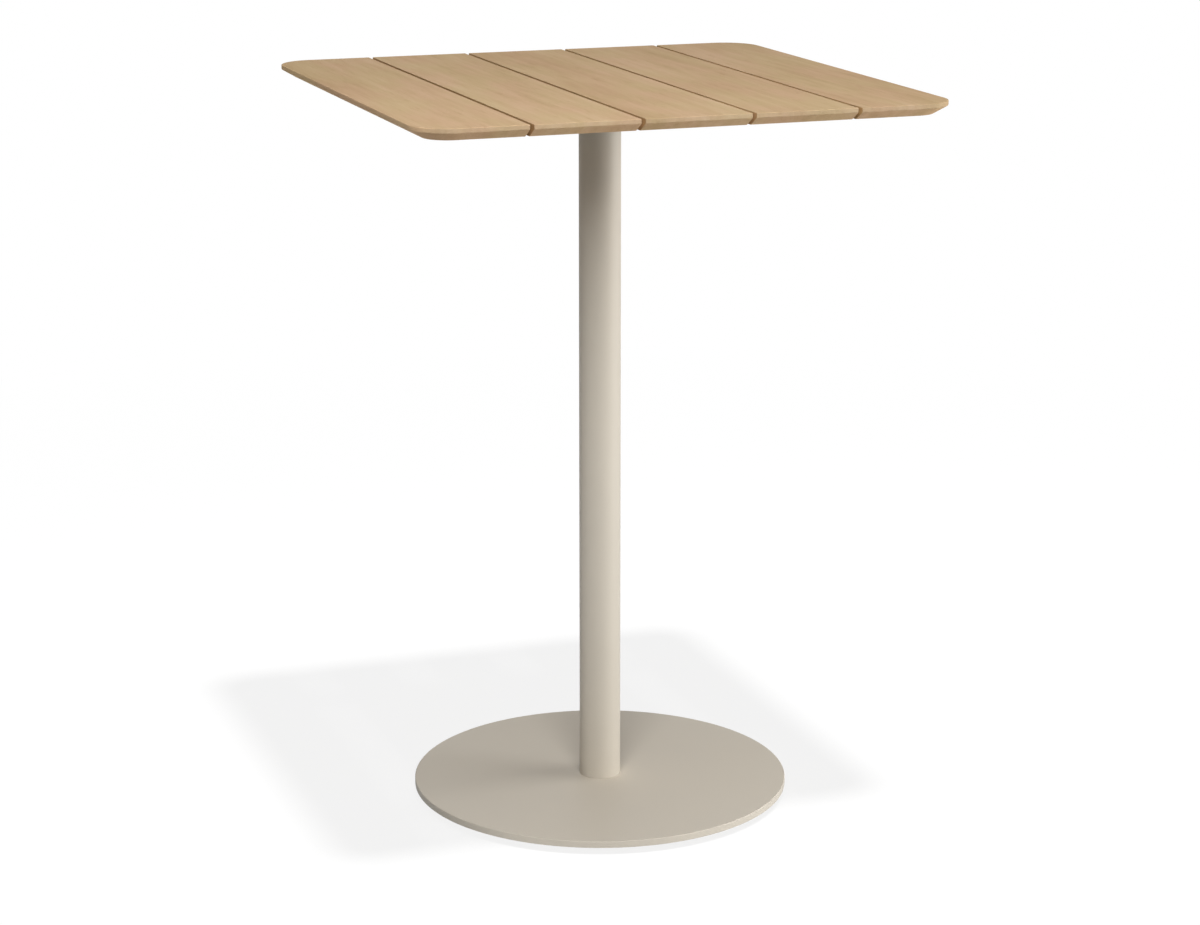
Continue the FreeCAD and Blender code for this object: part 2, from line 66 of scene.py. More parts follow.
# Shared small values
TOUCH = 0.00001
OVERRUN = 0.001
SHARP_ANGLE = math.radians(32)
FACING_SHARE = 0.99

# How finely things are drawn: sides to a full turn, and steps across a rounded edge
BASE_SIDES = 192
COLUMN_SIDES = 96
PAD_SIDES = 64
HEAD_SIDES = 48
SCREW_SIDES = 36
WASHER_HOLE_SIDES = 36
BOLT_HOLE_SIDES = 32
SCREW_HOLE_SIDES = 24
THREAD_SIDES = 24
EDGE_STEPS = 2

# Tabletop
TOP_CORNER_RADIUS = 0.054
TOP_CORNER_STEPS = 18
LIP_HEIGHT = 0.0064
LIP_ROUND = 0.0012
LIP_STEPS = 5
BEVEL_INSET = 0.020
BEVEL_EDGE_ROUND = 0.0010
GAP_EDGE_ROUND = 0.0008
GAP_LOW_EDGE_ROUND = 0.0003

# Each plank's own place in the timber, and the slant of its grain in degrees
TIMBER_SHIFTS = ((0.3, 1.1, 0.2), (1.7, 4.3, 0.9), (3.1, 2.2, 1.6), (4.9, 7.4, 2.3), (6.3, 5.8, 3.1))
TIMBER_TURNS = (0.5, -0.7, 0.4, 0.8, -0.5)

# Crossbars, bearers and the plate on the column
BAR_CORNER_RADIUS = 0.008
BAR_CORNER_STEPS = 8
BAR_EDGE_ROUND = 0.0008
SHEET_WALL = 0.003
SHEET_BEND_RADIUS = 0.0045
SHEET_BEND_STEPS = 6
SHEET_EDGE_ROUND = 0.0005
SHEET_EDGE_ANGLE = math.radians(60)
BEAD_SIZE = 0.0026
BEAD_STEPS = 4
BEAD_END_GAP = 0.003
BEAD_RIPPLES = 14
BEAD_RIPPLE_SHARE = 0.86
BEARER_LEVEL_LENGTH = 0.190
FLANGE_CORNER_RADIUS = 0.014
FLANGE_CORNER_STEPS = 10
FLANGE_EDGE_ROUND = 0.0010
FLANGE_EDGE_STEPS = 3
BOLT_HOLE_RADIUS = 0.0045
BOLT_OFFSET = 0.048

# Screws up into the planks
SCREW_PLACE_SHARE = 0.25
SCREW_SHANK_RADIUS = 0.0025
SCREW_HOLE_RADIUS = 0.0029
SCREW_HEAD_ROUND = 0.0022
SCREW_HEAD_STEPS = 6
SCREW_HEAD_HEIGHT = 0.0032
SCREW_RECESS_RADIUS = 0.0023
SCREW_RECESS_DEPTH = 0.0018
SCREW_LOBES = 6
SCREW_LOBE_SHARE = 0.78
SCREW_VALLEY_LEVEL = -0.3

# Column
COLUMN_WALL = 0.003
COLUMN_EDGE_ROUND = 0.0004
WELD_RADIUS = 0.0022
WELD_SIDES = 12
WELD_RIPPLES = 60
WELD_RIPPLE_STEPS = 3
WELD_RIPPLE_SHARE = 1.012

# Base plate
BASE_EDGE_ROUND = 0.0014
BASE_EDGE_STEPS = 4
BASE_LOW_EDGE_ROUND = 0.0006
COUNTERBORE_RADIUS = 0.016
COUNTERBORE_SIDES = 64
COUNTERBORE_DEPTH = 0.004
BASE_HOLE_RADIUS = 0.0065
BASE_HOLE_SIDES = 40
GLIDE_HOLE_RADIUS = 0.0041
GLIDE_HOLE_DEPTH = 0.008

# Hexagon heads, nuts and washers
BOLT_FLATS = 0.013
BOLT_SHANK_RADIUS = 0.004
BOLT_HEAD_HEIGHT = 0.0053
BASE_BOLT_FLATS = 0.018
BASE_BOLT_SHANK_RADIUS = 0.006
BASE_BOLT_HEAD_HEIGHT = 0.0075
HEXAGON_CHAMFER_SHARE = 0.94
HEXAGON_CHAMFER_HEIGHT_SHARE = 0.07
WASHER_HOLE_CLEARANCE = 0.0003
WASHER_EDGE_ROUND = 0.0002
THREAD_PITCH = 0.00125
THREAD_DEPTH = 0.00065
THREAD_STAND_OUT_SHARE = 0.3

# Levelling glides
PAD_TOP_RADIUS = 0.016
PAD_LOW_ROUND = 0.0008
PAD_TOP_ROUND = 0.0012
PAD_TOP_STEPS = 3
PAD_NECK_RADIUS = 0.0041
PAD_SOCKET_RADIUS = 0.0071
PAD_SOCKET_TOP = 0.0038
PAD_SOCKET_FLOOR = 0.0016
STUD_DISC_RADIUS = 0.007
STUD_DISC_TOP = 0.0037
STUD_COLLAR_LOW = 0.0069
STUD_COLLAR_HIGH = 0.0097
STUD_THREAD_END = 0.0160

PLANKS = ("plank_1", "plank_2", "plank_3", "plank_4", "plank_5")
BOARDS = ("board_1", "board_2", "board_3", "board_4", "board_5")
ENDS = ("front", "rear")
SIDES = ("left", "right")
CORNERS = ("front_left", "front_right", "rear_left", "rear_right")
UP = Vector((0, 0, 1))


def span(*nodes):
    """Lowest and highest corner of some nodes taken together."""
    lows, highs = zip(*(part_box(node) for node in nodes))
    return Vector([min(axis) for axis in zip(*lows)]), Vector([max(axis) for axis in zip(*highs)])


# Making, opening and joining pieces

def choose(*pieces):
    """Make some pieces the only selected ones, and the first of them the active one."""
    bpy.ops.object.select_all(action="DESELECT")
    for piece in pieces:
        piece.select_set(True)
    if pieces:
        bpy.context.view_layer.objects.active = pieces[0]


def settle(name):
    """Name the new primitive and put its place and size into its mesh."""
    piece = bpy.context.object
    piece.name = name
    piece.data.name = name
    bpy.ops.object.transform_apply(location=True, rotation=True, scale=True)
    return piece


def add_block(name, low, high):
    """A block between two corners, to be shaped."""
    choose()
    bpy.ops.mesh.primitive_cube_add(size=1, location=(low + high) / 2, scale=high - low)
    return settle(name)


def add_round(name, radius, low, high, sides, centre=(0, 0), caps="NGON"):
    """An upright round bar between two heights, to be shaped."""
    choose()
    bpy.ops.mesh.primitive_cylinder_add(
        vertices=sides, radius=radius, depth=high - low, end_fill_type=caps,
        location=(centre[0], centre[1], (low + high) / 2))
    return settle(name)


def open_piece(piece):
    """Go into edit mode on one piece, with nothing selected."""
    choose(piece)
    bpy.ops.object.mode_set(mode="EDIT")
    bpy.ops.mesh.select_all(action="DESELECT")


def close_piece():
    """Leave edit mode."""
    bpy.ops.object.mode_set(mode="OBJECT")


def pick_edges(piece, test):
    """Select the edges whose two ends pass a test."""
    bpy.ops.mesh.select_mode(type="EDGE")
    bpy.ops.mesh.select_all(action="DESELECT")
    mesh = bmesh.from_edit_mesh(piece.data)
    for edge in mesh.edges:
        if test(edge.verts[0].co, edge.verts[1].co):
            edge.select_set(True)
    mesh.select_flush_mode()
    bmesh.update_edit_mesh(piece.data)


def pick_faces(piece, test):
    """Select the faces whose middle and normal pass a test."""
    bpy.ops.mesh.select_mode(type="FACE")
    bpy.ops.mesh.select_all(action="DESELECT")
    mesh = bmesh.from_edit_mesh(piece.data)
    for face in mesh.faces:
        if test(face.calc_center_median(), face.normal):
            face.select_set(True)
    mesh.select_flush_mode()
    bmesh.update_edit_mesh(piece.data)


def upright(start, end):
    """True for an edge that stands straight up."""
    return abs(start.z - end.z) > TOUCH and (start.xy - end.xy).length < TOUCH


def at_height(height):
    """A test for edges that lie at one height."""
    return lambda start, end: max(abs(start.z - height), abs(end.z - height)) < TOUCH


def facing(direction):
    """A test for faces that look one way."""
    return lambda middle, normal: normal.dot(direction) > FACING_SHARE


def round_edges(piece, test, width, steps=EDGE_STEPS):
    """Round the edges that pass a test."""
    pick_edges(piece, test)
    bpy.ops.mesh.bevel(offset=width, segments=steps, affect="EDGES")


def push_out(shift, share=1.0, middle=(0, 0, 0)):
    """Extrude what is selected, then scale it across about a middle."""
    bpy.ops.mesh.extrude_region_move(TRANSFORM_OT_translate={"value": shift})
    bpy.ops.transform.resize(value=(share, share, 1), center_override=middle)


def combine(piece, tool, operation="DIFFERENCE"):
    """Cut, join or trim a piece with a tool piece, which is used up."""
    choose(piece)
    bpy.ops.object.modifier_add(type="BOOLEAN")
    step = piece.modifiers[-1]
    step.operation = operation
    step.object = tool
    bpy.ops.object.modifier_apply(modifier=step.name)
    bpy.data.objects.remove(tool)


def drill(piece, radius, low, high, sides, places=((0, 0),)):
    """Drill upright holes between two heights, at the table's middle or at the places given."""
    drills = [add_round("drill", radius, low, high, sides, place) for place in places]
    combine(piece, join_pieces("drills", drills))


def thicken(piece, thickness):
    """Give an open skin its wall, inward."""
    bpy.ops.object.modifier_add(type="SOLIDIFY")
    wall = piece.modifiers[-1]
    wall.thickness = thickness
    wall.offset = -1
    wall.use_even_offset = True
    bpy.ops.object.modifier_apply(modifier=wall.name)


def copy_piece(piece, shift=(0, 0, 0)):
    """A copy with its own mesh, moved over."""
    choose(piece)
    bpy.ops.object.duplicate()
    twin = bpy.context.object
    twin.location = shift
    bpy.ops.object.transform_apply(location=True)
    return twin


def join_pieces(name, pieces):
    """Make several pieces one, under a name."""
    choose(*pieces)
    if len(pieces) > 1:
        bpy.ops.object.join()
    pieces[0].name = name
    pieces[0].data.name = name
    return pieces[0]


def finish_piece(piece, body, slot, material, *nodes):
    """Smooth a piece, give it its finish, and set it on its body in place of its nodes."""
    choose(piece)
    bpy.ops.object.shade_smooth_by_angle(angle=SHARP_ANGLE)
    bpy.ops.object.modifier_add(type="WEIGHTED_NORMAL")
    piece.modifiers[-1].keep_sharp = True
    bpy.ops.object.modifier_apply(modifier=piece.modifiers[-1].name)
    piece.data.materials.clear()
    piece.data.materials.append(material)
    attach(piece, body)
    if nodes:
        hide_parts(*nodes)


# Finishes: node helpers

def colour(red, green, blue):
    """A colour written in the usual 0 to 255 steps, as Blender's linear values."""
    def linear(step):
        share = step / 255
        return share / 12.92 if share <= 0.04045 else ((share + 0.055) / 1.055) ** 2.4
    return (linear(red), linear(green), linear(blue), 1)


def feed(tree, source, socket):
    """Put a value into a socket, or link another socket to it."""
    if isinstance(source, bpy.types.NodeSocket):
        tree.links.new(source, socket)
    else:
        socket.default_value = source


def add_math(tree, operation, first, second):
    """One sum on two values."""
    node = tree.nodes.new("ShaderNodeMath")
    node.operation = operation
    feed(tree, first, node.inputs[0])
    feed(tree, second, node.inputs[1])
    return node.outputs[0]


def add_noise(tree, vector, stretch, detail=2.0, roughness=0.5):
    """Soft noise with so many features to the metre along each axis."""
    scaled = tree.nodes.new("ShaderNodeVectorMath")
    scaled.operation = "MULTIPLY"
    feed(tree, vector, scaled.inputs[0])
    feed(tree, stretch, scaled.inputs[1])
    noise = tree.nodes.new("ShaderNodeTexNoise")
    noise.inputs["Scale"].default_value = 1.0
    noise.inputs["Detail"].default_value = detail
    noise.inputs["Roughness"].default_value = roughness
    feed(tree, scaled.outputs[0], noise.inputs["Vector"])
    return noise.outputs["Fac"]


def add_range(tree, value, low, high, new_low, new_high):
    """A value carried from one range to another, and kept inside it."""
    node = tree.nodes.new("ShaderNodeMapRange")
    for socket, source in zip(node.inputs, (value, low, high, new_low, new_high)):
        feed(tree, source, socket)
    return node.outputs["Result"]


def add_mix(tree, factor, first, second, blend="MIX"):
    """Two colours mixed by a factor."""
    node = tree.nodes.new("ShaderNodeMix")
    node.data_type = "RGBA"
    node.blend_type = blend
    colours = [socket for socket in node.inputs if socket.type == "RGBA"]
    feed(tree, factor, node.inputs["Factor"])
    feed(tree, first, colours[0])
    feed(tree, second, colours[1])
    return next(socket for socket in node.outputs if socket.type == "RGBA")


def new_group(name, inputs, outputs):
    """An empty node group with named inputs and outputs."""
    group = bpy.data.node_groups.new(name, "ShaderNodeTree")
    for title, kind, start in inputs:
        socket = group.interface.new_socket(title, in_out="INPUT", socket_type=kind)
        socket.default_value = start
    for title, kind in outputs:
        group.interface.new_socket(title, in_out="OUTPUT", socket_type=kind)
    return group, group.nodes.new("NodeGroupInput").outputs, group.nodes.new("NodeGroupOutput").inputs


def place_group(tree, group, **values):
    """A node group set into a tree, with its own values."""
    node = tree.nodes.new("ShaderNodeGroup")
    node.node_tree = group
    for title, source in values.items():
        feed(tree, source, node.inputs[title])
    return node.outputs


# The parts of the grain: how many there are to the metre along each axis
GRAIN_BANDS = (8, 2.4, 8)
GRAIN_STREAKS = (75, 4.5, 75)
GRAIN_LINES = (480, 12, 480)
GRAIN_PORES = (950, 60, 950)
GRAIN_FLECKS = (150, 15, 150)
PORE_PATCHES = (30, 5, 30)
TINT_CLOUDS = (18, 6, 18)
SAW_MARKS = (4, 700, 30)

# The same for the other finishes; pebbles and specks go by how fine each skin is
DRAWN_LINES = (2600, 2600, 240)
SLOW_CLOUDS = (7, 7, 7)
SKIN_PEBBLES = (1, 1, 1)
SKIN_SPECKS = (2.3, 2.3, 2.3)
COAT_FINENESS = 850.0
NYLON_FINENESS = 1600.0

# How rough the finer noises are, and the part of each noise's range that is used
FINE_NOISE = 0.6
PEBBLE_NOISE = 0.55
FLECK_RANGE = (0.58, 0.72)
PATCH_RANGE = (0.42, 0.62)
PORE_RANGE = (0.60, 0.72)
TINT_RANGE = (0.38, 0.62)
SPECK_RANGE = (0.35, 0.65)
FULL_RANGE = (0.3, 0.7)

# How much each part of the grain counts in its tone, its colour and its relief
BAND_SHARE = 0.46
STREAK_SHARE = 0.36
LINE_SHARE = 0.18
FLECK_SHARE = 0.09
PORE_SHARE = 0.35
PORE_DEPTH_SHARE = 0.8
TONE_DARKEST = 0.30
TONE_MIDDLE = 0.50
TONE_LIGHTEST = 0.70


def make_timber_grain():
    """Straight grain along Y: bands, streaks, fine lines, dark flecks and short open pores."""
    group, entry, leave = new_group(
        "timber_grain",
        [("Place", "NodeSocketVector", (0, 0, 0)), ("Contrast", "NodeSocketFloat", 1.0)],
        [("Tone", "NodeSocketFloat"), ("Pores", "NodeSocketFloat"), ("Height", "NodeSocketFloat")])
    place = entry["Place"]
    bands = add_noise(group, place, GRAIN_BANDS, 3)
    streaks = add_noise(group, place, GRAIN_STREAKS, 4, FINE_NOISE)
    lines = add_noise(group, place, GRAIN_LINES, 3, FINE_NOISE)
    pores = add_noise(group, place, GRAIN_PORES, 2, FINE_NOISE)

    tone = add_math(group, "MULTIPLY", bands, BAND_SHARE)
    tone = add_math(group, "ADD", tone, add_math(group, "MULTIPLY", streaks, STREAK_SHARE))
    tone = add_math(group, "ADD", tone, add_math(group, "MULTIPLY", lines, LINE_SHARE))
    flecks = add_range(group, add_noise(group, place, GRAIN_FLECKS, 3, FINE_NOISE), *FLECK_RANGE, 0, 1)
    tone = add_math(group, "SUBTRACT", tone, add_math(group, "MULTIPLY", flecks, FLECK_SHARE))
    off_middle = add_math(group, "SUBTRACT", tone, TONE_MIDDLE)
    stretched = add_math(group, "MULTIPLY", off_middle, entry["Contrast"])
    feed(group, add_math(group, "ADD", stretched, TONE_MIDDLE), leave["Tone"])

    patches = add_range(group, add_noise(group, place, PORE_PATCHES, 2), *PATCH_RANGE, 0, 1)
    open_pores = add_range(group, pores, *PORE_RANGE, 0, 1)
    feed(group, add_math(group, "MULTIPLY", open_pores, patches), leave["Pores"])

    sunk = add_math(group, "MULTIPLY", open_pores, PORE_DEPTH_SHARE)
    feed(group, add_math(group, "SUBTRACT", lines, sunk), leave["Height"])
    return group


def make_fine_skin():
    """An even, fine pebbled skin, as baked powder or moulded plastic has."""
    group, entry, leave = new_group(
        "fine_skin",
        [("Place", "NodeSocketVector", (0, 0, 0)), ("Fineness", "NodeSocketFloat", 900.0)],
        [("Height", "NodeSocketFloat"), ("Specks", "NodeSocketFloat")])
    scaled = group.nodes.new("ShaderNodeVectorMath")
    scaled.operation = "SCALE"
    feed(group, entry["Place"], scaled.inputs[0])
    feed(group, entry["Fineness"], scaled.inputs["Scale"])
    pebbles = add_noise(group, scaled.outputs[0], SKIN_PEBBLES, 2, PEBBLE_NOISE)
    specks = add_noise(group, scaled.outputs[0], SKIN_SPECKS, 1)
    feed(group, pebbles, leave["Height"])
    feed(group, add_range(group, specks, *SPECK_RANGE, -1, 1), leave["Specks"])
    return group


def make_slow_drift():
    """Broad, faint unevenness across a surface, from -1 to 1."""
    group, entry, leave = new_group(
        "slow_drift",
        [("Place", "NodeSocketVector", (0, 0, 0))],
        [("Drift", "NodeSocketFloat")])
    cloud = add_noise(group, entry["Place"], SLOW_CLOUDS, 3)
    feed(group, add_range(group, cloud, *FULL_RANGE, -1, 1), leave["Drift"])
    return group


TIMBER_GRAIN = make_timber_grain()
FINE_SKIN = make_fine_skin()
SLOW_DRIFT = make_slow_drift()


def new_material(name):
    """An empty material, its shader, and the object's own coordinates."""
    material = bpy.data.materials.new(name)
    material.use_nodes = True
    tree = material.node_tree
    shader = tree.nodes["Principled BSDF"]
    place = tree.nodes.new("ShaderNodeTexCoord").outputs["Object"]
    return material, tree, shader, place


def dress(tree, shader, base, roughness, height, relief, specular=0.5):
    """Give a shader its colour, its roughness, its fine relief, and how strongly it reflects."""
    bump = tree.nodes.new("ShaderNodeBump")
    feed(tree, relief[0], bump.inputs["Strength"])
    feed(tree, relief[1], bump.inputs["Distance"])
    feed(tree, height, bump.inputs["Height"])
    feed(tree, bump.outputs["Normal"], shader.inputs["Normal"])
    feed(tree, base, shader.inputs["Base Color"])
    feed(tree, roughness, shader.inputs["Roughness"])
    feed(tree, specular, shader.inputs["Specular IOR Level"])


def vary(tree, base, amount, drift):
    """A colour made lighter and darker by a mask that runs from -1 to 1."""
    shade = add_math(tree, "MULTIPLY_ADD", drift, amount)
    shade.node.inputs[2].default_value = 1.0
    return add_mix(tree, 1.0, base, shade, "MULTIPLY")


# The timber's tones, its tints by place and by face (the paler downward faces are painted bounce
# light), its saw cuts (darkened in part as painted shade), and the other finishes
TEAK_DARK = colour(178, 147, 110)
TEAK_MIDDLE = colour(199, 170, 133)
TEAK_LIGHT = colour(214, 187, 152)
TEAK_ROSY = colour(255, 250, 252)
TEAK_STRAW = colour(251, 253, 247)
TEAK_PORE = colour(152, 117, 85)
TEAK_END = colour(243, 247, 253)
# Multiplier for faces that look down: painted bounce light that makes them paler
TEAK_PAINTED_BOUNCE = (1.18, 1.14, 1.11, 1)
# Gap walls: sawn wood, darker and browner in part as painted shade of the narrow gaps
SAWN_AND_SHADED_DARK = colour(172, 136, 92)
SAWN_AND_SHADED_MIDDLE = colour(188, 152, 107)
SAWN_AND_SHADED_LIGHT = colour(201, 166, 121)
POWDER_COAT = colour(206, 198, 184)
STEEL = colour(196, 194, 190)
NYLON = colour(52, 51, 50)

# How far a face has to turn for the tint of end grain, and for the painted bounce light on faces that
# look down
END_TURN = (0.6, 0.9)
PAINTED_BOUNCE_TURN = (-0.3, -0.7)

# The spread of the timber's tones, the saw cuts' place in it, and how much each mask tells
TEAK_CONTRAST = 0.8
SAWN_CONTRAST = 1.0
SAWN_SHIFT = (2.2, 0.4, 5.1)
SAW_MARK_TELL = 0.05
COAT_DRIFT_TELL = 0.012
COAT_SPECK_TELL = 0.018
STEEL_DRIFT_TELL = 0.04
NYLON_SPECK_TELL = 0.06

# Roughness of each finish at the two ends of its mask
TEAK_ROUGHNESS = (0.76, 0.66)
SAWN_ROUGHNESS = (0.86, 0.74)
COAT_ROUGHNESS = (0.46, 0.52)
STEEL_ROUGHNESS = (0.26, 0.40)
NYLON_ROUGHNESS = (0.52, 0.64)

# How strongly some finishes reflect, and the strength and depth of each one's relief
TEAK_SPECULAR = 0.10
SAWN_SPECULAR = 0.08
COAT_SPECULAR = 0.25
TEAK_RELIEF = (0.35, 0.00018)
SAWN_RELIEF = (0.40, 0.00020)
COAT_RELIEF = (0.20, 0.00010)
STEEL_RELIEF = (0.15, 0.00005)
NYLON_RELIEF = (0.30, 0.00008)


def add_grain(tree, place, shift, turn, tones, contrast):
    """The grain of one plank, moved and turned, coloured from a dark, a middle and a light tone."""
    moved = tree.nodes.new("ShaderNodeMapping")
    moved.inputs["Location"].default_value = shift
    moved.inputs["Rotation"].default_value = (0, 0, math.radians(turn))
    feed(tree, place, moved.inputs["Vector"])
    grain = place_group(tree, TIMBER_GRAIN, Place=moved.outputs["Vector"], Contrast=contrast)
    ramp = tree.nodes.new("ShaderNodeValToRGB")
    ramp.color_ramp.elements[0].position = TONE_DARKEST
    ramp.color_ramp.elements[0].color = tones[0]
    ramp.color_ramp.elements[1].position = TONE_LIGHTEST
    ramp.color_ramp.elements[1].color = tones[2]
    ramp.color_ramp.elements.new(TONE_MIDDLE).color = tones[1]
    feed(tree, grain["Tone"], ramp.inputs["Fac"])
    pores = add_math(tree, "MULTIPLY", grain["Pores"], PORE_SHARE)
    marked = add_mix(tree, pores, ramp.outputs["Color"], TEAK_PORE)
    clouds = add_noise(tree, moved.outputs["Vector"], TINT_CLOUDS, 3)
    tint = add_mix(tree, add_range(tree, clouds, *TINT_RANGE, 0, 1), TEAK_ROSY, TEAK_STRAW)
    return grain, add_mix(tree, 1.0, marked, tint, "MULTIPLY")


def make_teak(name, shift, turn):
    """Oiled teak for one plank, cut from its own part of the tree.

    It is a little duller on its end grain, and painted paler where it faces down, as painted bounce
    light from below.
    """
    material, tree, shader, place = new_material(name)
    tones = (TEAK_DARK, TEAK_MIDDLE, TEAK_LIGHT)
    grain, marked = add_grain(tree, place, shift, turn, tones, TEAK_CONTRAST)
    facing_way = tree.nodes.new("ShaderNodeSeparateXYZ")
    feed(tree, tree.nodes.new("ShaderNodeTexCoord").outputs["Normal"], facing_way.inputs[0])
    along = add_math(tree, "ABSOLUTE", facing_way.outputs["Y"], 0)
    end_grain = add_range(tree, along, *END_TURN, 0, 1)
    # Faces that look down are made paler here: painted bounce light from the floor
    painted_bounce = add_range(tree, facing_way.outputs["Z"], *PAINTED_BOUNCE_TURN, 0, 1)
    toned = add_mix(tree, end_grain, marked, TEAK_END, "MULTIPLY")
    base = add_mix(tree, painted_bounce, toned, TEAK_PAINTED_BOUNCE, "MULTIPLY")
    roughness = add_range(tree, grain["Tone"], *FULL_RANGE, *TEAK_ROUGHNESS)
    dress(tree, shader, base, roughness, grain["Height"], TEAK_RELIEF, TEAK_SPECULAR)
    return material


def make_sawn_and_shaded_teak():
    """The rougher wood on the sawn walls of the gaps, browner and darker: partly its own colour, partly
    painted shade of the narrow gaps.
    """
    material, tree, shader, place = new_material("teak_sawn_and_shaded")
    tones = (SAWN_AND_SHADED_DARK, SAWN_AND_SHADED_MIDDLE, SAWN_AND_SHADED_LIGHT)
    grain, marked = add_grain(tree, place, SAWN_SHIFT, 0, tones, SAWN_CONTRAST)
    marks = add_noise(tree, place, SAW_MARKS, 2, FINE_NOISE)
    base = vary(tree, marked, SAW_MARK_TELL, add_range(tree, marks, *FULL_RANGE, -1, 1))
    roughness = add_range(tree, marks, *FULL_RANGE, *SAWN_ROUGHNESS)
    height = add_math(tree, "ADD", grain["Height"], marks)
    dress(tree, shader, base, roughness, height, SAWN_RELIEF, SAWN_SPECULAR)
    return material


def make_powder_coat():
    """Satin powder coat in warm stone grey, with a faint orange peel."""
    material, tree, shader, place = new_material("powder_coat")
    skin = place_group(tree, FINE_SKIN, Place=place, Fineness=COAT_FINENESS)
    drift = place_group(tree, SLOW_DRIFT, Place=place)
    base = vary(tree, POWDER_COAT, COAT_DRIFT_TELL, drift["Drift"])
    base = vary(tree, base, COAT_SPECK_TELL, skin["Specks"])
    roughness = add_range(tree, drift["Drift"], -1, 1, *COAT_ROUGHNESS)
    dress(tree, shader, base, roughness, skin["Height"], COAT_RELIEF, COAT_SPECULAR)
    return material


def make_steel():
    """Plain stainless steel with fine drawn lines."""
    material, tree, shader, place = new_material("fastener_steel")
    lines = add_noise(tree, place, DRAWN_LINES, 2, FINE_NOISE)
    drift = place_group(tree, SLOW_DRIFT, Place=place)
    base = vary(tree, STEEL, STEEL_DRIFT_TELL, drift["Drift"])
    roughness = add_range(tree, lines, *FULL_RANGE, *STEEL_ROUGHNESS)
    shader.inputs["Metallic"].default_value = 1.0
    dress(tree, shader, base, roughness, lines, STEEL_RELIEF)
    return material


def make_nylon():
    """Matt black moulded plastic."""
    material, tree, shader, place = new_material("glide_plastic")
    skin = place_group(tree, FINE_SKIN, Place=place, Fineness=NYLON_FINENESS)
    base = vary(tree, NYLON, NYLON_SPECK_TELL, skin["Specks"])
    roughness = add_range(tree, skin["Height"], *FULL_RANGE, *NYLON_ROUGHNESS)
    dress(tree, shader, base, roughness, skin["Height"], NYLON_RELIEF)
    return material


POWDER_FINISH = make_powder_coat()
STEEL_FINISH = make_steel()
NYLON_FINISH = make_nylon()


def coat(piece, *nodes):
    """Give a steel piece of the table its powder coat, and set it in place of its nodes."""
    finish_piece(piece, "table", "powder_coat", POWDER_FINISH, *nodes)


# The tabletop

def make_top_form():
    """The whole top in one: rounded corners, a thin lip, and a bevel that runs in underneath."""
    low, high = span(*PLANKS)
    lip_low = high.z - LIP_HEIGHT
    form = add_block("top_form", Vector((low.x, low.y, lip_low)), high)
    open_piece(form)
    round_edges(form, upright, TOP_CORNER_RADIUS, TOP_CORNER_STEPS)
    pick_faces(form, facing(-UP))
    bpy.ops.mesh.inset(thickness=BEVEL_INSET, depth=0)
    bpy.ops.transform.translate(value=(0, 0, low.z - lip_low))
    round_edges(form, at_height(high.z), LIP_ROUND, LIP_STEPS)
    round_edges(form, at_height(lip_low), BEVEL_EDGE_ROUND)
    round_edges(form, at_height(low.z), BEVEL_EDGE_ROUND)
    close_piece()
    return form


def make_boards():
    """Saw the top into its planks, ease the sawn edges, and give each its own timber."""
    form = make_top_form()
    sawn_and_shaded_timber = make_sawn_and_shaded_teak()
    for number, node in enumerate(PLANKS):
        low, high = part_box(node)
        board = copy_piece(form)
        board.name = BOARDS[number]
        open_piece(board)
        sawn = []
        if number > 0:
            saw(low.x, "inner")
            sawn.append(low.x)
        if number < len(PLANKS) - 1:
            saw(high.x, "outer")
            sawn.append(high.x)
        middle = (low.z + high.z) / 2
        for side in sawn:
            round_edges(board, at_side(side, middle, high.z), GAP_EDGE_ROUND)
            round_edges(board, at_side(side, low.z, middle), GAP_LOW_EDGE_ROUND)
        close_piece()
        timber = make_teak(f"teak_{number + 1}", TIMBER_SHIFTS[number], TIMBER_TURNS[number])
        finish_piece(board, "table", "teak", timber, node)
        # The gap walls get the sawn wood, whose darker colour is partly painted shade
        board.data.materials.append(sawn_and_shaded_timber)
        for face in board.data.polygons:
            on_saw_cut = min(abs(face.center.x - side) for side in sawn) < TOUCH
            if abs(face.normal.x) > FACING_SHARE and on_saw_cut:
                face.material_index = 1
    bpy.data.objects.remove(form)


def saw(side, off_cut):
    """Cut a board through at one place across, and drop the part to one side."""
    bpy.ops.mesh.select_all(action="SELECT")
    bpy.ops.mesh.bisect(plane_co=(side, 0, 0), plane_no=(1, 0, 0), use_fill=True,
                        clear_inner=off_cut == "inner", clear_outer=off_cut == "outer")


def at_side(side, low, high):
    """A test for edges in one upright plane along the planks, between two heights."""
    return lambda start, end: (max(abs(start.x - side), abs(end.x - side)) < TOUCH
                               and low < (start.z + end.z) / 2 < high + TOUCH)


# Screws, and the crossbars that they go through

def screw_places():
    """Where the screws stand across the top, two to a plank."""
    places = []
    for number, node in enumerate(PLANKS):
        low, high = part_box(node)
        start = low.x + BEVEL_INSET if number == 0 else low.x
        end = high.x - BEVEL_INSET if number == len(PLANKS) - 1 else high.x
        step = (end - start) * SCREW_PLACE_SHARE
        places += [(start + end) / 2 - step, (start + end) / 2 + step]
    return places


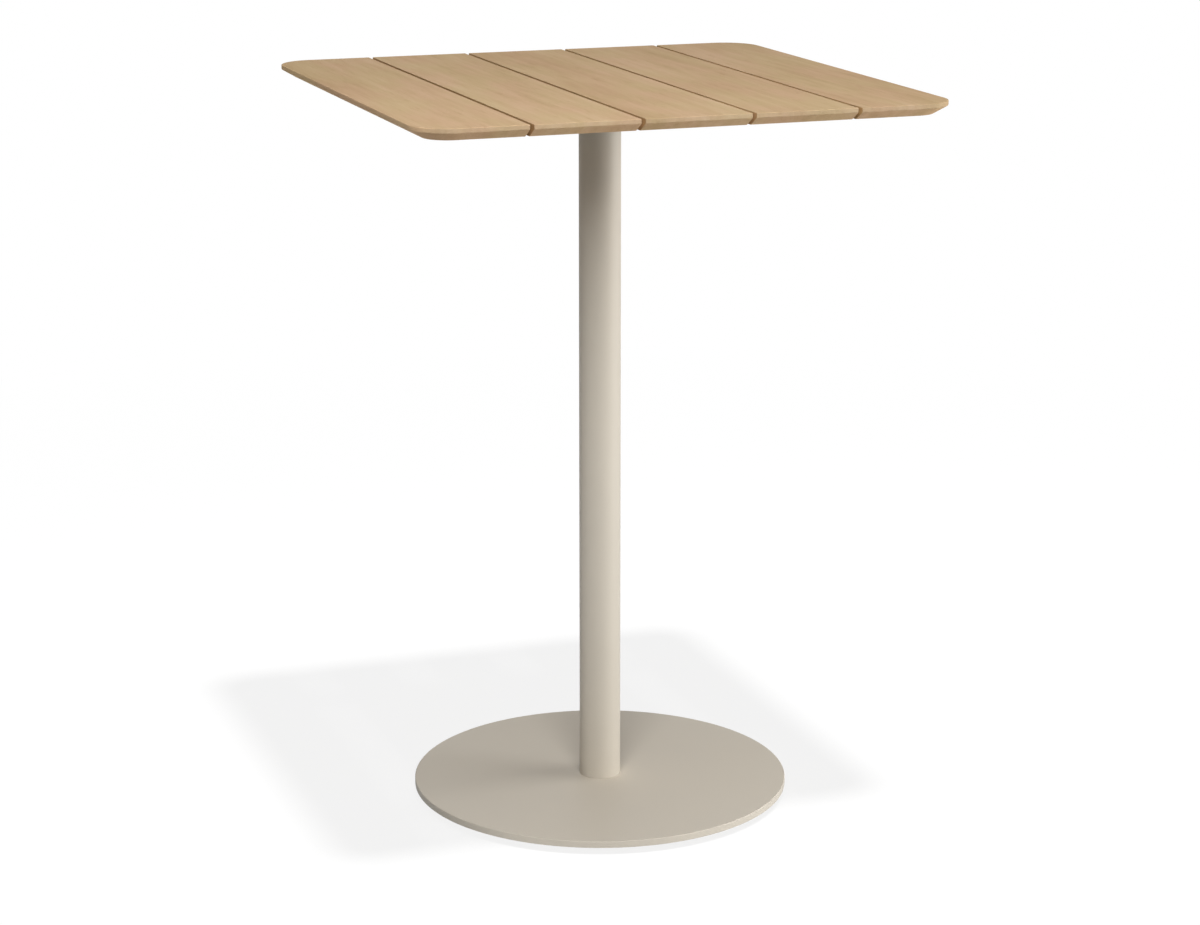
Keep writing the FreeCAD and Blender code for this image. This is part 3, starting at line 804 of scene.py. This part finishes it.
def make_screw(node):
    """One round-headed screw with a six-lobed recess, at the middle of the table."""
    low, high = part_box(node)
    radius = (high.y - low.y) / 2
    head_top = low.z + SCREW_HEAD_HEIGHT
    screw = add_round("screw", radius, low.z, head_top, SCREW_SIDES)
    open_piece(screw)
    pick_faces(screw, facing(UP))
    bpy.ops.mesh.inset(thickness=radius - SCREW_SHANK_RADIUS, depth=0)
    push_out((0, 0, high.z - head_top))
    round_edges(screw, at_height(low.z), SCREW_HEAD_ROUND, SCREW_HEAD_STEPS)
    pick_faces(screw, facing(-UP))
    bpy.ops.mesh.inset(thickness=radius - SCREW_HEAD_ROUND - SCREW_RECESS_RADIUS, depth=0)
    shape_lobes(screw, low.z)
    pick_faces(screw, lambda middle, normal: facing(-UP)(middle, normal) and middle.xy.length < TOUCH)
    push_out((0, 0, SCREW_RECESS_DEPTH), SCREW_LOBE_SHARE)
    close_piece()
    return screw


def shape_lobes(screw, level):
    """Draw in the recess outline between its lobes."""
    def between_lobes(start, end):
        middle = (start + end) / 2
        turn = math.atan2(middle.y, middle.x)
        on_rim = middle.xy.length < SCREW_RECESS_RADIUS + TOUCH and at_height(level)(start, end)
        return on_rim and math.cos(SCREW_LOBES * turn) < SCREW_VALLEY_LEVEL
    pick_edges(screw, between_lobes)
    bpy.ops.transform.resize(value=(SCREW_LOBE_SHARE, SCREW_LOBE_SHARE, 1),
                             center_override=(0, 0, level))


def make_crossbar(end):
    """A flat bar under the planks, drilled for its screws."""
    node = f"crossbar_{end}"
    low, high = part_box(node)
    middle = (low.y + high.y) / 2
    bar = add_block(f"bar_{end}", low, high)
    open_piece(bar)
    round_edges(bar, upright, BAR_CORNER_RADIUS, BAR_CORNER_STEPS)
    round_edges(bar, at_height(low.z), BAR_EDGE_ROUND)
    round_edges(bar, at_height(high.z), BAR_EDGE_ROUND)
    close_piece()
    drill(bar, SCREW_HOLE_RADIUS, low.z - OVERRUN, high.z + OVERRUN, SCREW_HOLE_SIDES,
          [(place, middle) for place in screw_places()])
    coat(bar, node)


def make_screw_row(end):
    """The ten screws through one crossbar."""
    node = f"plank_screws_{end}"
    low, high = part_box(node)
    screw = make_screw(node)
    row = [copy_piece(screw, (place, (low.y + high.y) / 2, 0)) for place in screw_places()]
    bpy.data.objects.remove(screw)
    finish_piece(join_pieces(f"screws_{end}", row), "table", "fastener_steel", STEEL_FINISH, node)


# The folded bearers and the plate on the column

def bolt_places():
    """The four bolts, one at each end of each bearer's level part."""
    middles = [sum(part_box(f"bearer_{side}"), Vector()).x / 2 for side in SIDES]
    return [(x, y) for x in middles for y in (-BOLT_OFFSET, BOLT_OFFSET)]


def make_bearer(side):
    """A channel folded from sheet, open upward, whose web rises to shallow ends."""
    node = f"bearer_{side}"
    low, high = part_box(node)
    end_bottom = min(vertex.co.z for vertex in frame["nodes"][node].data.vertices
                     if abs(vertex.co.y - high.y) < TOUCH)
    level_end = BEARER_LEVEL_LENGTH / 2
    channel = add_block(f"channel_{side}", low, high)
    open_piece(channel)
    for place in (-level_end, level_end):
        bpy.ops.mesh.select_all(action="SELECT")
        bpy.ops.mesh.bisect(plane_co=(0, place, 0), plane_no=(0, 1, 0))
    pick_edges(channel, lambda start, end: at_height(low.z)(start, end)
               and min(abs(start.y), abs(end.y)) > high.y - TOUCH)
    bpy.ops.transform.translate(value=(0, 0, end_bottom - low.z))
    pick_faces(channel, lambda middle, normal: normal.z > FACING_SHARE or abs(normal.y) > FACING_SHARE)
    bpy.ops.mesh.delete(type="FACE")
    round_edges(channel, lambda start, end: max(start.z, end.z) < high.z - TOUCH
                and abs(start.x - end.x) < TOUCH and abs(start.y - end.y) > TOUCH,
                SHEET_BEND_RADIUS, SHEET_BEND_STEPS)
    close_piece()
    thicken(channel, SHEET_WALL)
    bpy.ops.object.modifier_add(type="BEVEL")
    edge = channel.modifiers[-1]
    edge.width = SHEET_EDGE_ROUND
    edge.segments = EDGE_STEPS
    edge.angle_limit = SHEET_EDGE_ANGLE
    bpy.ops.object.modifier_apply(modifier=edge.name)
    middle = (low.x + high.x) / 2
    drill(channel, BOLT_HOLE_RADIUS, low.z - OVERRUN, low.z + SHEET_WALL + OVERRUN, BOLT_HOLE_SIDES,
          [(middle, y) for y in (-BOLT_OFFSET, BOLT_OFFSET)])
    coat(channel, node)


def make_bead(wall, way, low_y, high_y, level):
    """One short rippled weld in the corner between a bearer's wall and the bar that lies on it."""
    inner = Vector((wall - way * SHEET_EDGE_ROUND, low_y, level + SHEET_EDGE_ROUND))
    outer = Vector((wall + way * BEAD_SIZE, high_y, level - BEAD_SIZE))
    low, high = (Vector([pick(pair) for pair in zip(inner, outer)]) for pick in (min, max))
    bead = add_block("bead", low, high)
    open_piece(bead)
    round_edges(bead, lambda start, end: max(abs(start.x - outer.x), abs(end.x - outer.x)) < TOUCH
                and at_height(low.z)(start, end), BEAD_SIZE, BEAD_STEPS)
    pick_edges(bead, lambda start, end: abs(start.y - end.y) > TOUCH)
    bpy.ops.mesh.subdivide(number_cuts=2 * BEAD_RIPPLES - 1)
    pitch = (high.y - low.y) / BEAD_RIPPLES
    pick_edges(bead, lambda start, end: abs(start.y - end.y) < TOUCH
               and abs((start.y - low.y) % pitch - pitch / 2) > pitch / 4)
    bpy.ops.transform.resize(value=(BEAD_RIPPLE_SHARE, 1, BEAD_RIPPLE_SHARE),
                             center_override=(wall, 0, level))
    close_piece()
    return bead


def make_bearer_welds():
    """The beads that join the bearers' walls to the crossbars, two at each crossing."""
    beads = []
    for side in SIDES:
        low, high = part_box(f"bearer_{side}")
        for end in ENDS:
            bar_low, bar_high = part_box(f"crossbar_{end}")
            start = bar_low.y + BEAD_END_GAP
            stop = bar_high.y - BEAD_END_GAP
            beads.append(make_bead(low.x, -1, start, stop, bar_low.z))
            beads.append(make_bead(high.x, 1, start, stop, bar_low.z))
    coat(join_pieces("bearer_welds", beads))


def make_flange():
    """The plate that the bearers are bolted to, with round corners."""
    low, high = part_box("column_flange")
    plate = add_block("top_plate", low, high)
    open_piece(plate)
    round_edges(plate, upright, FLANGE_CORNER_RADIUS, FLANGE_CORNER_STEPS)
    round_edges(plate, at_height(low.z), FLANGE_EDGE_ROUND, FLANGE_EDGE_STEPS)
    round_edges(plate, at_height(high.z), FLANGE_EDGE_ROUND, FLANGE_EDGE_STEPS)
    close_piece()
    drill(plate, BOLT_HOLE_RADIUS, low.z - OVERRUN, high.z + OVERRUN, BOLT_HOLE_SIDES, bolt_places())
    coat(plate, "column_flange")


# Hexagon bolts, nuts and washers

def make_hexagon(name, flats, low, high, chamfered_ends):
    """A hexagon with its corners turned off at one or both ends, at the middle of the table."""
    corner_radius = flats / 2 / math.cos(math.radians(30))
    hexagon = add_round(name, corner_radius, low, high, 6)
    turned_radius = corner_radius + OVERRUN
    turned = add_round("turned", turned_radius, low - OVERRUN, high + OVERRUN, HEAD_SIDES)
    drop = flats * HEXAGON_CHAMFER_HEIGHT_SHARE
    open_piece(turned)
    for way in chamfered_ends:
        pick_faces(turned, facing(UP * way))
        face_at = high + OVERRUN if way > 0 else low - OVERRUN
        wanted = high - drop if way > 0 else low + drop
        bpy.ops.transform.translate(value=(0, 0, wanted - face_at))
        reach = flats / 2 * HEXAGON_CHAMFER_SHARE
        push_out((0, 0, way * drop), reach / turned_radius)
    close_piece()
    combine(hexagon, turned, "INTERSECT")
    return hexagon


def make_washer(name, radius, hole, low, high):
    """A flat ring with its edges eased."""
    washer = add_round(name, radius, low, high, HEAD_SIDES)
    open_piece(washer)
    round_edges(washer, at_height(low), WASHER_EDGE_ROUND)
    round_edges(washer, at_height(high), WASHER_EDGE_ROUND)
    close_piece()
    drill(washer, hole, low - OVERRUN, high + OVERRUN, WASHER_HOLE_SIDES)
    return washer


def make_thread(name, radius, low, high):
    """A core with one ridge wound round it from a low to a high place."""
    core_radius = radius - THREAD_DEPTH
    core = add_round(name, core_radius, low, high, THREAD_SIDES)
    stand_out = THREAD_DEPTH * THREAD_STAND_OUT_SHARE
    choose()
    bpy.ops.mesh.primitive_circle_add(
        vertices=3, radius=THREAD_DEPTH, rotation=(math.radians(90), 0, 0),
        location=(core_radius + stand_out, 0, low + THREAD_DEPTH))
    ridge = settle("ridge")
    bpy.ops.object.modifier_add(type="SCREW")
    wound = ridge.modifiers[-1]
    wound.steps = THREAD_SIDES
    wound.render_steps = THREAD_SIDES
    wound.screw_offset = THREAD_PITCH
    wound.iterations = int((high - low - 2 * THREAD_DEPTH) / THREAD_PITCH)
    bpy.ops.object.modifier_apply(modifier=wound.name)
    open_piece(ridge)
    bpy.ops.mesh.select_mode(type="EDGE")
    bpy.ops.mesh.select_non_manifold()
    bpy.ops.mesh.fill()
    bpy.ops.mesh.select_all(action="SELECT")
    bpy.ops.mesh.normals_make_consistent(inside=False)
    close_piece()
    return join_pieces(name, [core, ridge])


def spread(name, piece, places, *details):
    """Copies of one piece at several places, joined, set on the table."""
    copies = [copy_piece(piece, (x, y, 0)) for x, y in places]
    bpy.data.objects.remove(piece)
    finish_piece(join_pieces(name, copies), "table", "fastener_steel", STEEL_FINISH, *details)


def make_bolt(flats, shank_radius, head_height, low, high):
    """A hexagon bolt with its head down, at the middle of the table."""
    head_top = low + head_height
    head = make_hexagon("bolt_head", flats, low, head_top, (-1,))
    shank = make_thread("bolt_thread", shank_radius, head_top - OVERRUN, high)
    return join_pieces("bolt", [head, shank])


def make_flange_fasteners():
    """Bolts, washers and nuts that hold the bearers to the plate."""
    low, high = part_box("flange_bolts")
    bolt = make_bolt(BOLT_FLATS, BOLT_SHANK_RADIUS, BOLT_HEAD_HEIGHT, low.z, high.z)
    spread("flange_bolt_set", bolt, bolt_places(), "flange_bolts")

    low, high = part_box("flange_washers")
    radius = high.x - bolt_places()[-1][0]
    washer = make_washer("washer", radius, BOLT_SHANK_RADIUS + WASHER_HOLE_CLEARANCE, low.z, high.z)
    spread("flange_washer_set", washer, bolt_places(), "flange_washers")

    low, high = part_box("flange_nuts")
    nut = make_hexagon("nut", BOLT_FLATS, low.z, high.z, (-1, 1))
    drill(nut, BOLT_SHANK_RADIUS, low.z - OVERRUN, high.z + OVERRUN, BOLT_HOLE_SIDES)
    spread("flange_nut_set", nut, bolt_places(), "flange_nuts")


def make_base_fasteners():
    """The bolt and washer under the middle of the base plate."""
    low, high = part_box("base_bolt")
    bolt = make_bolt(BASE_BOLT_FLATS, BASE_BOLT_SHANK_RADIUS, BASE_BOLT_HEAD_HEIGHT, low.z, high.z)
    spread("base_bolt_set", bolt, [(0, 0)], "base_bolt")

    low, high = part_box("base_washer")
    washer = make_washer("washer", high.x, BASE_HOLE_RADIUS, low.z, high.z)
    spread("base_washer_ring", washer, [(0, 0)], "base_washer")


# Column and base plate

def make_column():
    """The round tube, its lower cut end eased, and the weld that joins it to the plate."""
    low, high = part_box("column_tube")
    column = add_round("column", high.x, low.z, high.z, COLUMN_SIDES, caps="NOTHING")
    thicken(column, COLUMN_WALL)
    open_piece(column)
    round_edges(column, at_height(low.z), COLUMN_EDGE_ROUND)
    close_piece()
    coat(column, "column_tube")

    choose()
    bpy.ops.mesh.primitive_torus_add(
        location=(0, 0, high.z), major_radius=high.x, minor_radius=WELD_RADIUS,
        major_segments=WELD_RIPPLES * WELD_RIPPLE_STEPS, minor_segments=WELD_SIDES)
    weld = settle("column_weld")
    open_piece(weld)
    ripple = 2 * math.pi / WELD_RIPPLES
    crest = ripple / WELD_RIPPLE_STEPS
    pick_faces(weld, lambda middle, normal: math.atan2(middle.y, middle.x) % ripple < crest)
    bpy.ops.transform.resize(value=(WELD_RIPPLE_SHARE, WELD_RIPPLE_SHARE, 1),
                             center_override=(0, 0, high.z))
    bpy.ops.mesh.select_all(action="SELECT")
    bpy.ops.mesh.bisect(plane_co=(0, 0, high.z), plane_no=(0, 0, 1), use_fill=True, clear_outer=True)
    close_piece()
    coat(weld)


def make_base_plate():
    """The round foot: an eased rim, a counterbored hole, and blind holes for the glides."""
    low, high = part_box("base_plate")
    plate = add_round("base_disc", high.x, low.z, high.z, BASE_SIDES)
    open_piece(plate)
    round_edges(plate, at_height(high.z), BASE_EDGE_ROUND, BASE_EDGE_STEPS)
    round_edges(plate, at_height(low.z), BASE_LOW_EDGE_ROUND)
    close_piece()
    drill(plate, BASE_HOLE_RADIUS, low.z - OVERRUN, high.z + OVERRUN, BASE_HOLE_SIDES)
    drill(plate, GLIDE_HOLE_RADIUS, low.z - OVERRUN, low.z + GLIDE_HOLE_DEPTH, BOLT_HOLE_SIDES,
          [sum(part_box(f"glide_stud_{corner}"), Vector()) / 2 for corner in CORNERS])
    drill(plate, COUNTERBORE_RADIUS, low.z - OVERRUN, low.z + COUNTERBORE_DEPTH, COUNTERBORE_SIDES)
    coat(plate, "base_plate")


# Levelling glides

def make_glide_pad(corner):
    """The moulded foot of one glide, with an undercut socket for the stud's disc."""
    node = f"glide_pad_{corner}"
    low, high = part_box(node)
    centre = (low + high) / 2
    radius = (high.x - low.x) / 2
    pad = add_round(f"foot_{corner}", radius, low.z, high.z, PAD_SIDES, centre)
    open_piece(pad)
    pick_faces(pad, facing(UP))
    top_share = PAD_TOP_RADIUS / radius
    bpy.ops.transform.resize(value=(top_share, top_share, 1), center_override=centre)
    round_edges(pad, at_height(low.z), PAD_LOW_ROUND)
    round_edges(pad, at_height(high.z), PAD_TOP_ROUND, PAD_TOP_STEPS)
    pick_faces(pad, facing(UP))
    mesh = bmesh.from_edit_mesh(pad.data)
    flat_radius = max((vertex.co.xy - centre.xy).length for vertex in mesh.verts if vertex.select)
    bpy.ops.mesh.inset(thickness=flat_radius - PAD_NECK_RADIUS, depth=0)
    push_out((0, 0, PAD_SOCKET_TOP - high.z))
    push_out((0, 0, 0), PAD_SOCKET_RADIUS / PAD_NECK_RADIUS, centre)
    push_out((0, 0, PAD_SOCKET_FLOOR - PAD_SOCKET_TOP))
    close_piece()
    finish_piece(pad, f"{corner}_pad", "glide_plastic", NYLON_FINISH, node)


def make_glide_stud(corner):
    """The threaded stud of one glide, with its hexagon collar and the disc that turns in the foot."""
    node = f"glide_stud_{corner}"
    low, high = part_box(node)
    centre = (low + high) / 2
    disc = add_round("stud_disc", STUD_DISC_RADIUS, low.z, STUD_DISC_TOP, HEAD_SIDES)
    open_piece(disc)
    pick_faces(disc, facing(UP))
    bpy.ops.mesh.inset(thickness=STUD_DISC_RADIUS - BOLT_SHANK_RADIUS, depth=0)
    push_out((0, 0, STUD_COLLAR_LOW + OVERRUN - STUD_DISC_TOP))
    round_edges(disc, at_height(low.z), WASHER_EDGE_ROUND)
    close_piece()
    collar = make_hexagon("stud_collar", BOLT_FLATS, STUD_COLLAR_LOW, STUD_COLLAR_HIGH, (-1, 1))
    thread = make_thread("stud_thread", BOLT_SHANK_RADIUS, STUD_COLLAR_HIGH - OVERRUN, STUD_THREAD_END)
    whole = join_pieces("stud", [disc, collar, thread])
    stud = copy_piece(whole, (centre.x, centre.y, 0))
    bpy.data.objects.remove(whole)
    stud.name = f"stud_{corner}"
    finish_piece(stud, f"{corner}_stud", "fastener_steel", STEEL_FINISH, node)


# Floor, lamps and camera

CAMERA_PLACE = Vector((-1.4072, -3.8708, 1.5764))
CAMERA_AZIMUTH = math.radians(19.98)
CAMERA_PITCH = math.radians(14.69)
CAMERA_LENS = 88.09

# The floor: how much shading it shows and how far out, and the light it throws up and how far out
FLOOR_SIZE = 60
FLOOR_SHOWN_SHARE = 0.15
FLOOR_SHADED_REACH = 1.6
FLOOR_WHITE_REACH = 3.0
FLOOR_THROW_REACH = 1.1
FLOOR_THROW_END = 2.2
FLOOR_GREY = 0.44
FLOOR_GLOW = 0.165

# Lamps for the floor alone, with the level that the floor gets from each
FLOOR_KEY_PLACE = Vector((0.226, -2.188, 10.12))
FLOOR_KEY_RADIUS = 0.33
FLOOR_KEY_LEVEL = 0.88
FLOOR_FILL_WIDTH = math.radians(120)
FLOOR_FILL_LEVEL = 0.27

# Lamps for the table: turn from the camera's side, lift, distance, height aimed at, size and power
LAMPS = {
    "over": {"turn": 0, "lift": 90, "distance": 2.2, "middle": 1.0,
             "width": 2.4, "height": 2.4, "power": 22.8},
    "side": {"turn": 90, "lift": 2, "distance": 2.6, "middle": 0.78,
             "width": 2.0, "height": 1.7, "power": 58},
    "front": {"turn": 0, "lift": 40, "distance": 3.2, "middle": 0.5,
              "width": 1.6, "height": 1.6, "power": 64},
    "low_front": {"turn": 0, "lift": 25, "distance": 6.0, "middle": 0.5,
                  "width": 3.0, "height": 3.0, "power": 51},
}

# A weak lamp for the boards alone, which lifts their left edges and the walls of the gaps
LEFT_LAMP = {"turn": -90, "lift": 5, "distance": 2.6, "middle": 0.95,
             "width": 1.2, "height": 0.8, "power": 10}


def seen_by_camera(tree):
    """A factor that is one for camera, glossy and transmission rays, and zero for the rest."""
    rays = tree.nodes.new("ShaderNodeLightPath").outputs
    seen = add_math(tree, "MAXIMUM", rays["Is Camera Ray"], rays["Is Glossy Ray"])
    return add_math(tree, "MAXIMUM", seen, rays["Is Transmission Ray"])


def mix_shaders(tree, factor, *parts):
    """A first shader that gives way to a second, or else to nothing, as the factor goes from 0 to 1."""
    node = tree.nodes.new("ShaderNodeMixShader")
    feed(tree, factor, node.inputs[0])
    for number, part in enumerate(parts):
        feed(tree, part, node.inputs[number + 1])
    return node.outputs[0]


def add_floor_part(tree, grey, glow):
    """A grey that takes shadows, with an even glow added to it."""
    shaded = tree.nodes.new("ShaderNodeBsdfDiffuse")
    shaded.inputs["Color"].default_value = (grey, grey, grey, 1)
    even = tree.nodes.new("ShaderNodeEmission")
    even.inputs["Strength"].default_value = glow
    both = tree.nodes.new("ShaderNodeAddShader")
    feed(tree, shaded.outputs[0], both.inputs[0])
    feed(tree, even.outputs[0], both.inputs[1])
    return both.outputs[0]


def make_floor():
    """A white floor that keeps a light shadow, throws soft light up, and shows nothing from underneath.

    Away from the table its shading fades to plain white, and the light it throws up fades out.
    """
    choose()
    bpy.ops.mesh.primitive_plane_add(size=FLOOR_SIZE)
    floor = settle("floor")
    material = bpy.data.materials.new("studio_floor")
    material.use_nodes = True
    tree = material.node_tree
    tree.nodes.remove(tree.nodes["Principled BSDF"])
    reach = tree.nodes.new("ShaderNodeVectorMath")
    reach.operation = "LENGTH"
    feed(tree, tree.nodes.new("ShaderNodeTexCoord").outputs["Object"], reach.inputs[0])
    away = add_range(tree, reach.outputs["Value"], FLOOR_SHADED_REACH, FLOOR_WHITE_REACH, 0, 1)
    spent = add_range(tree, reach.outputs["Value"], FLOOR_THROW_REACH, FLOOR_THROW_END, 0, 1)
    white = tree.nodes.new("ShaderNodeEmission").outputs[0]
    clear = tree.nodes.new("ShaderNodeBsdfTransparent").outputs[0]
    behind = tree.nodes.new("ShaderNodeNewGeometry").outputs["Backfacing"]
    shaded = add_floor_part(tree, FLOOR_SHOWN_SHARE, 1 - FLOOR_SHOWN_SHARE)
    shown = mix_shaders(tree, away, shaded, white)
    thrown_up = mix_shaders(tree, spent, add_floor_part(tree, FLOOR_GREY, FLOOR_GLOW))
    by_ray = mix_shaders(tree, seen_by_camera(tree), thrown_up, shown)
    by_side = mix_shaders(tree, behind, by_ray, clear)
    feed(tree, by_side, tree.nodes["Material Output"].inputs["Surface"])
    floor.data.materials.append(material)


def make_sky():
    """A white surround, there to be seen only: it lights nothing."""
    world = bpy.data.worlds.new("studio")
    bpy.context.scene.world = world
    world.use_nodes = True
    tree = world.node_tree
    glow = tree.nodes["Background"]
    glow.inputs["Color"].default_value = (1, 1, 1, 1)
    feed(tree, seen_by_camera(tree), glow.inputs["Strength"])


def aim(thing, direction):
    """Turn a lamp or the camera to look along a direction."""
    thing.rotation_euler = direction.to_track_quat("-Z", "Y").to_euler()


def add_lamp(name, kind, place, towards):
    """A lamp that looks at a point."""
    lamp = bpy.data.objects.new(name, bpy.data.lights.new(name, kind))
    bpy.context.scene.collection.objects.link(lamp)
    lamp.location = place
    aim(lamp, towards - place)
    return lamp


def light_only(lamp, state, *names):
    """Let a lamp light nothing but the named objects, or everything but them."""
    lit = bpy.data.collections.new(f"{lamp.name}_lit")
    lamp.light_linking.receiver_collection = lit
    for number, name in enumerate(names):
        lit.objects.link(bpy.data.objects[name])
        lit.collection_objects[number].light_linking.link_state = state


def make_floor_lamps():
    """A lamp that draws the tabletop's shadow on the floor, and an even light from all over."""
    key = add_lamp("floor_key", "POINT", FLOOR_KEY_PLACE, Vector())
    key.data.shadow_soft_size = FLOOR_KEY_RADIUS
    key.data.energy = FLOOR_KEY_LEVEL * (2 * math.pi * FLOOR_KEY_PLACE.length) ** 2
    light_only(key, "INCLUDE", "floor")
    fill = add_lamp("floor_fill", "SUN", UP, Vector())
    fill.data.angle = FLOOR_FILL_WIDTH
    fill.data.energy = FLOOR_FILL_LEVEL * math.pi
    light_only(fill, "INCLUDE", "floor")


def make_soft_lamp(name, turn, lift, distance, middle, width, height, power):
    """A broad lamp placed round the table, aimed at a height on its column's axis."""
    heading = CAMERA_AZIMUTH - math.radians(turn)
    level = math.cos(math.radians(lift))
    rise = math.sin(math.radians(lift))
    direction = Vector((-math.sin(heading) * level, -math.cos(heading) * level, rise))
    target = Vector((0, 0, middle))
    lamp = add_lamp(name, "AREA", target + direction * distance, target)
    lamp.data.shape = "RECTANGLE"
    lamp.data.size = width
    lamp.data.size_y = height
    lamp.data.energy = power
    return lamp


def make_camera():
    """The photograph's view."""
    data = bpy.data.cameras.new("camera")
    camera = bpy.data.objects.new("camera", data)
    bpy.context.scene.collection.objects.link(camera)
    data.lens = CAMERA_LENS
    camera.location = CAMERA_PLACE
    level = math.cos(CAMERA_PITCH)
    aim(camera, Vector((math.sin(CAMERA_AZIMUTH) * level, math.cos(CAMERA_AZIMUTH) * level,
                        -math.sin(CAMERA_PITCH))))
    bpy.context.scene.camera = camera


make_boards()
for end_name in ENDS:
    make_crossbar(end_name)
    make_screw_row(end_name)
for side_name in SIDES:
    make_bearer(side_name)
make_bearer_welds()
make_flange()
make_flange_fasteners()
make_column()
make_base_plate()
make_base_fasteners()
for corner_name in CORNERS:
    make_glide_pad(corner_name)
    make_glide_stud(corner_name)
for hidden, finish in (("column_plug", POWDER_FINISH), ("base_dowel", STEEL_FINISH)):
    frame["nodes"][hidden].data.materials.clear()
    frame["nodes"][hidden].data.materials.append(finish)

make_floor()
make_sky()
make_floor_lamps()
for lamp_name, lamp_values in LAMPS.items():
    light_only(make_soft_lamp(lamp_name, **lamp_values), "EXCLUDE", "floor")
light_only(make_soft_lamp("left", **LEFT_LAMP), "INCLUDE", *BOARDS)
make_camera()
bpy.context.scene.view_settings.view_transform = "Standard"
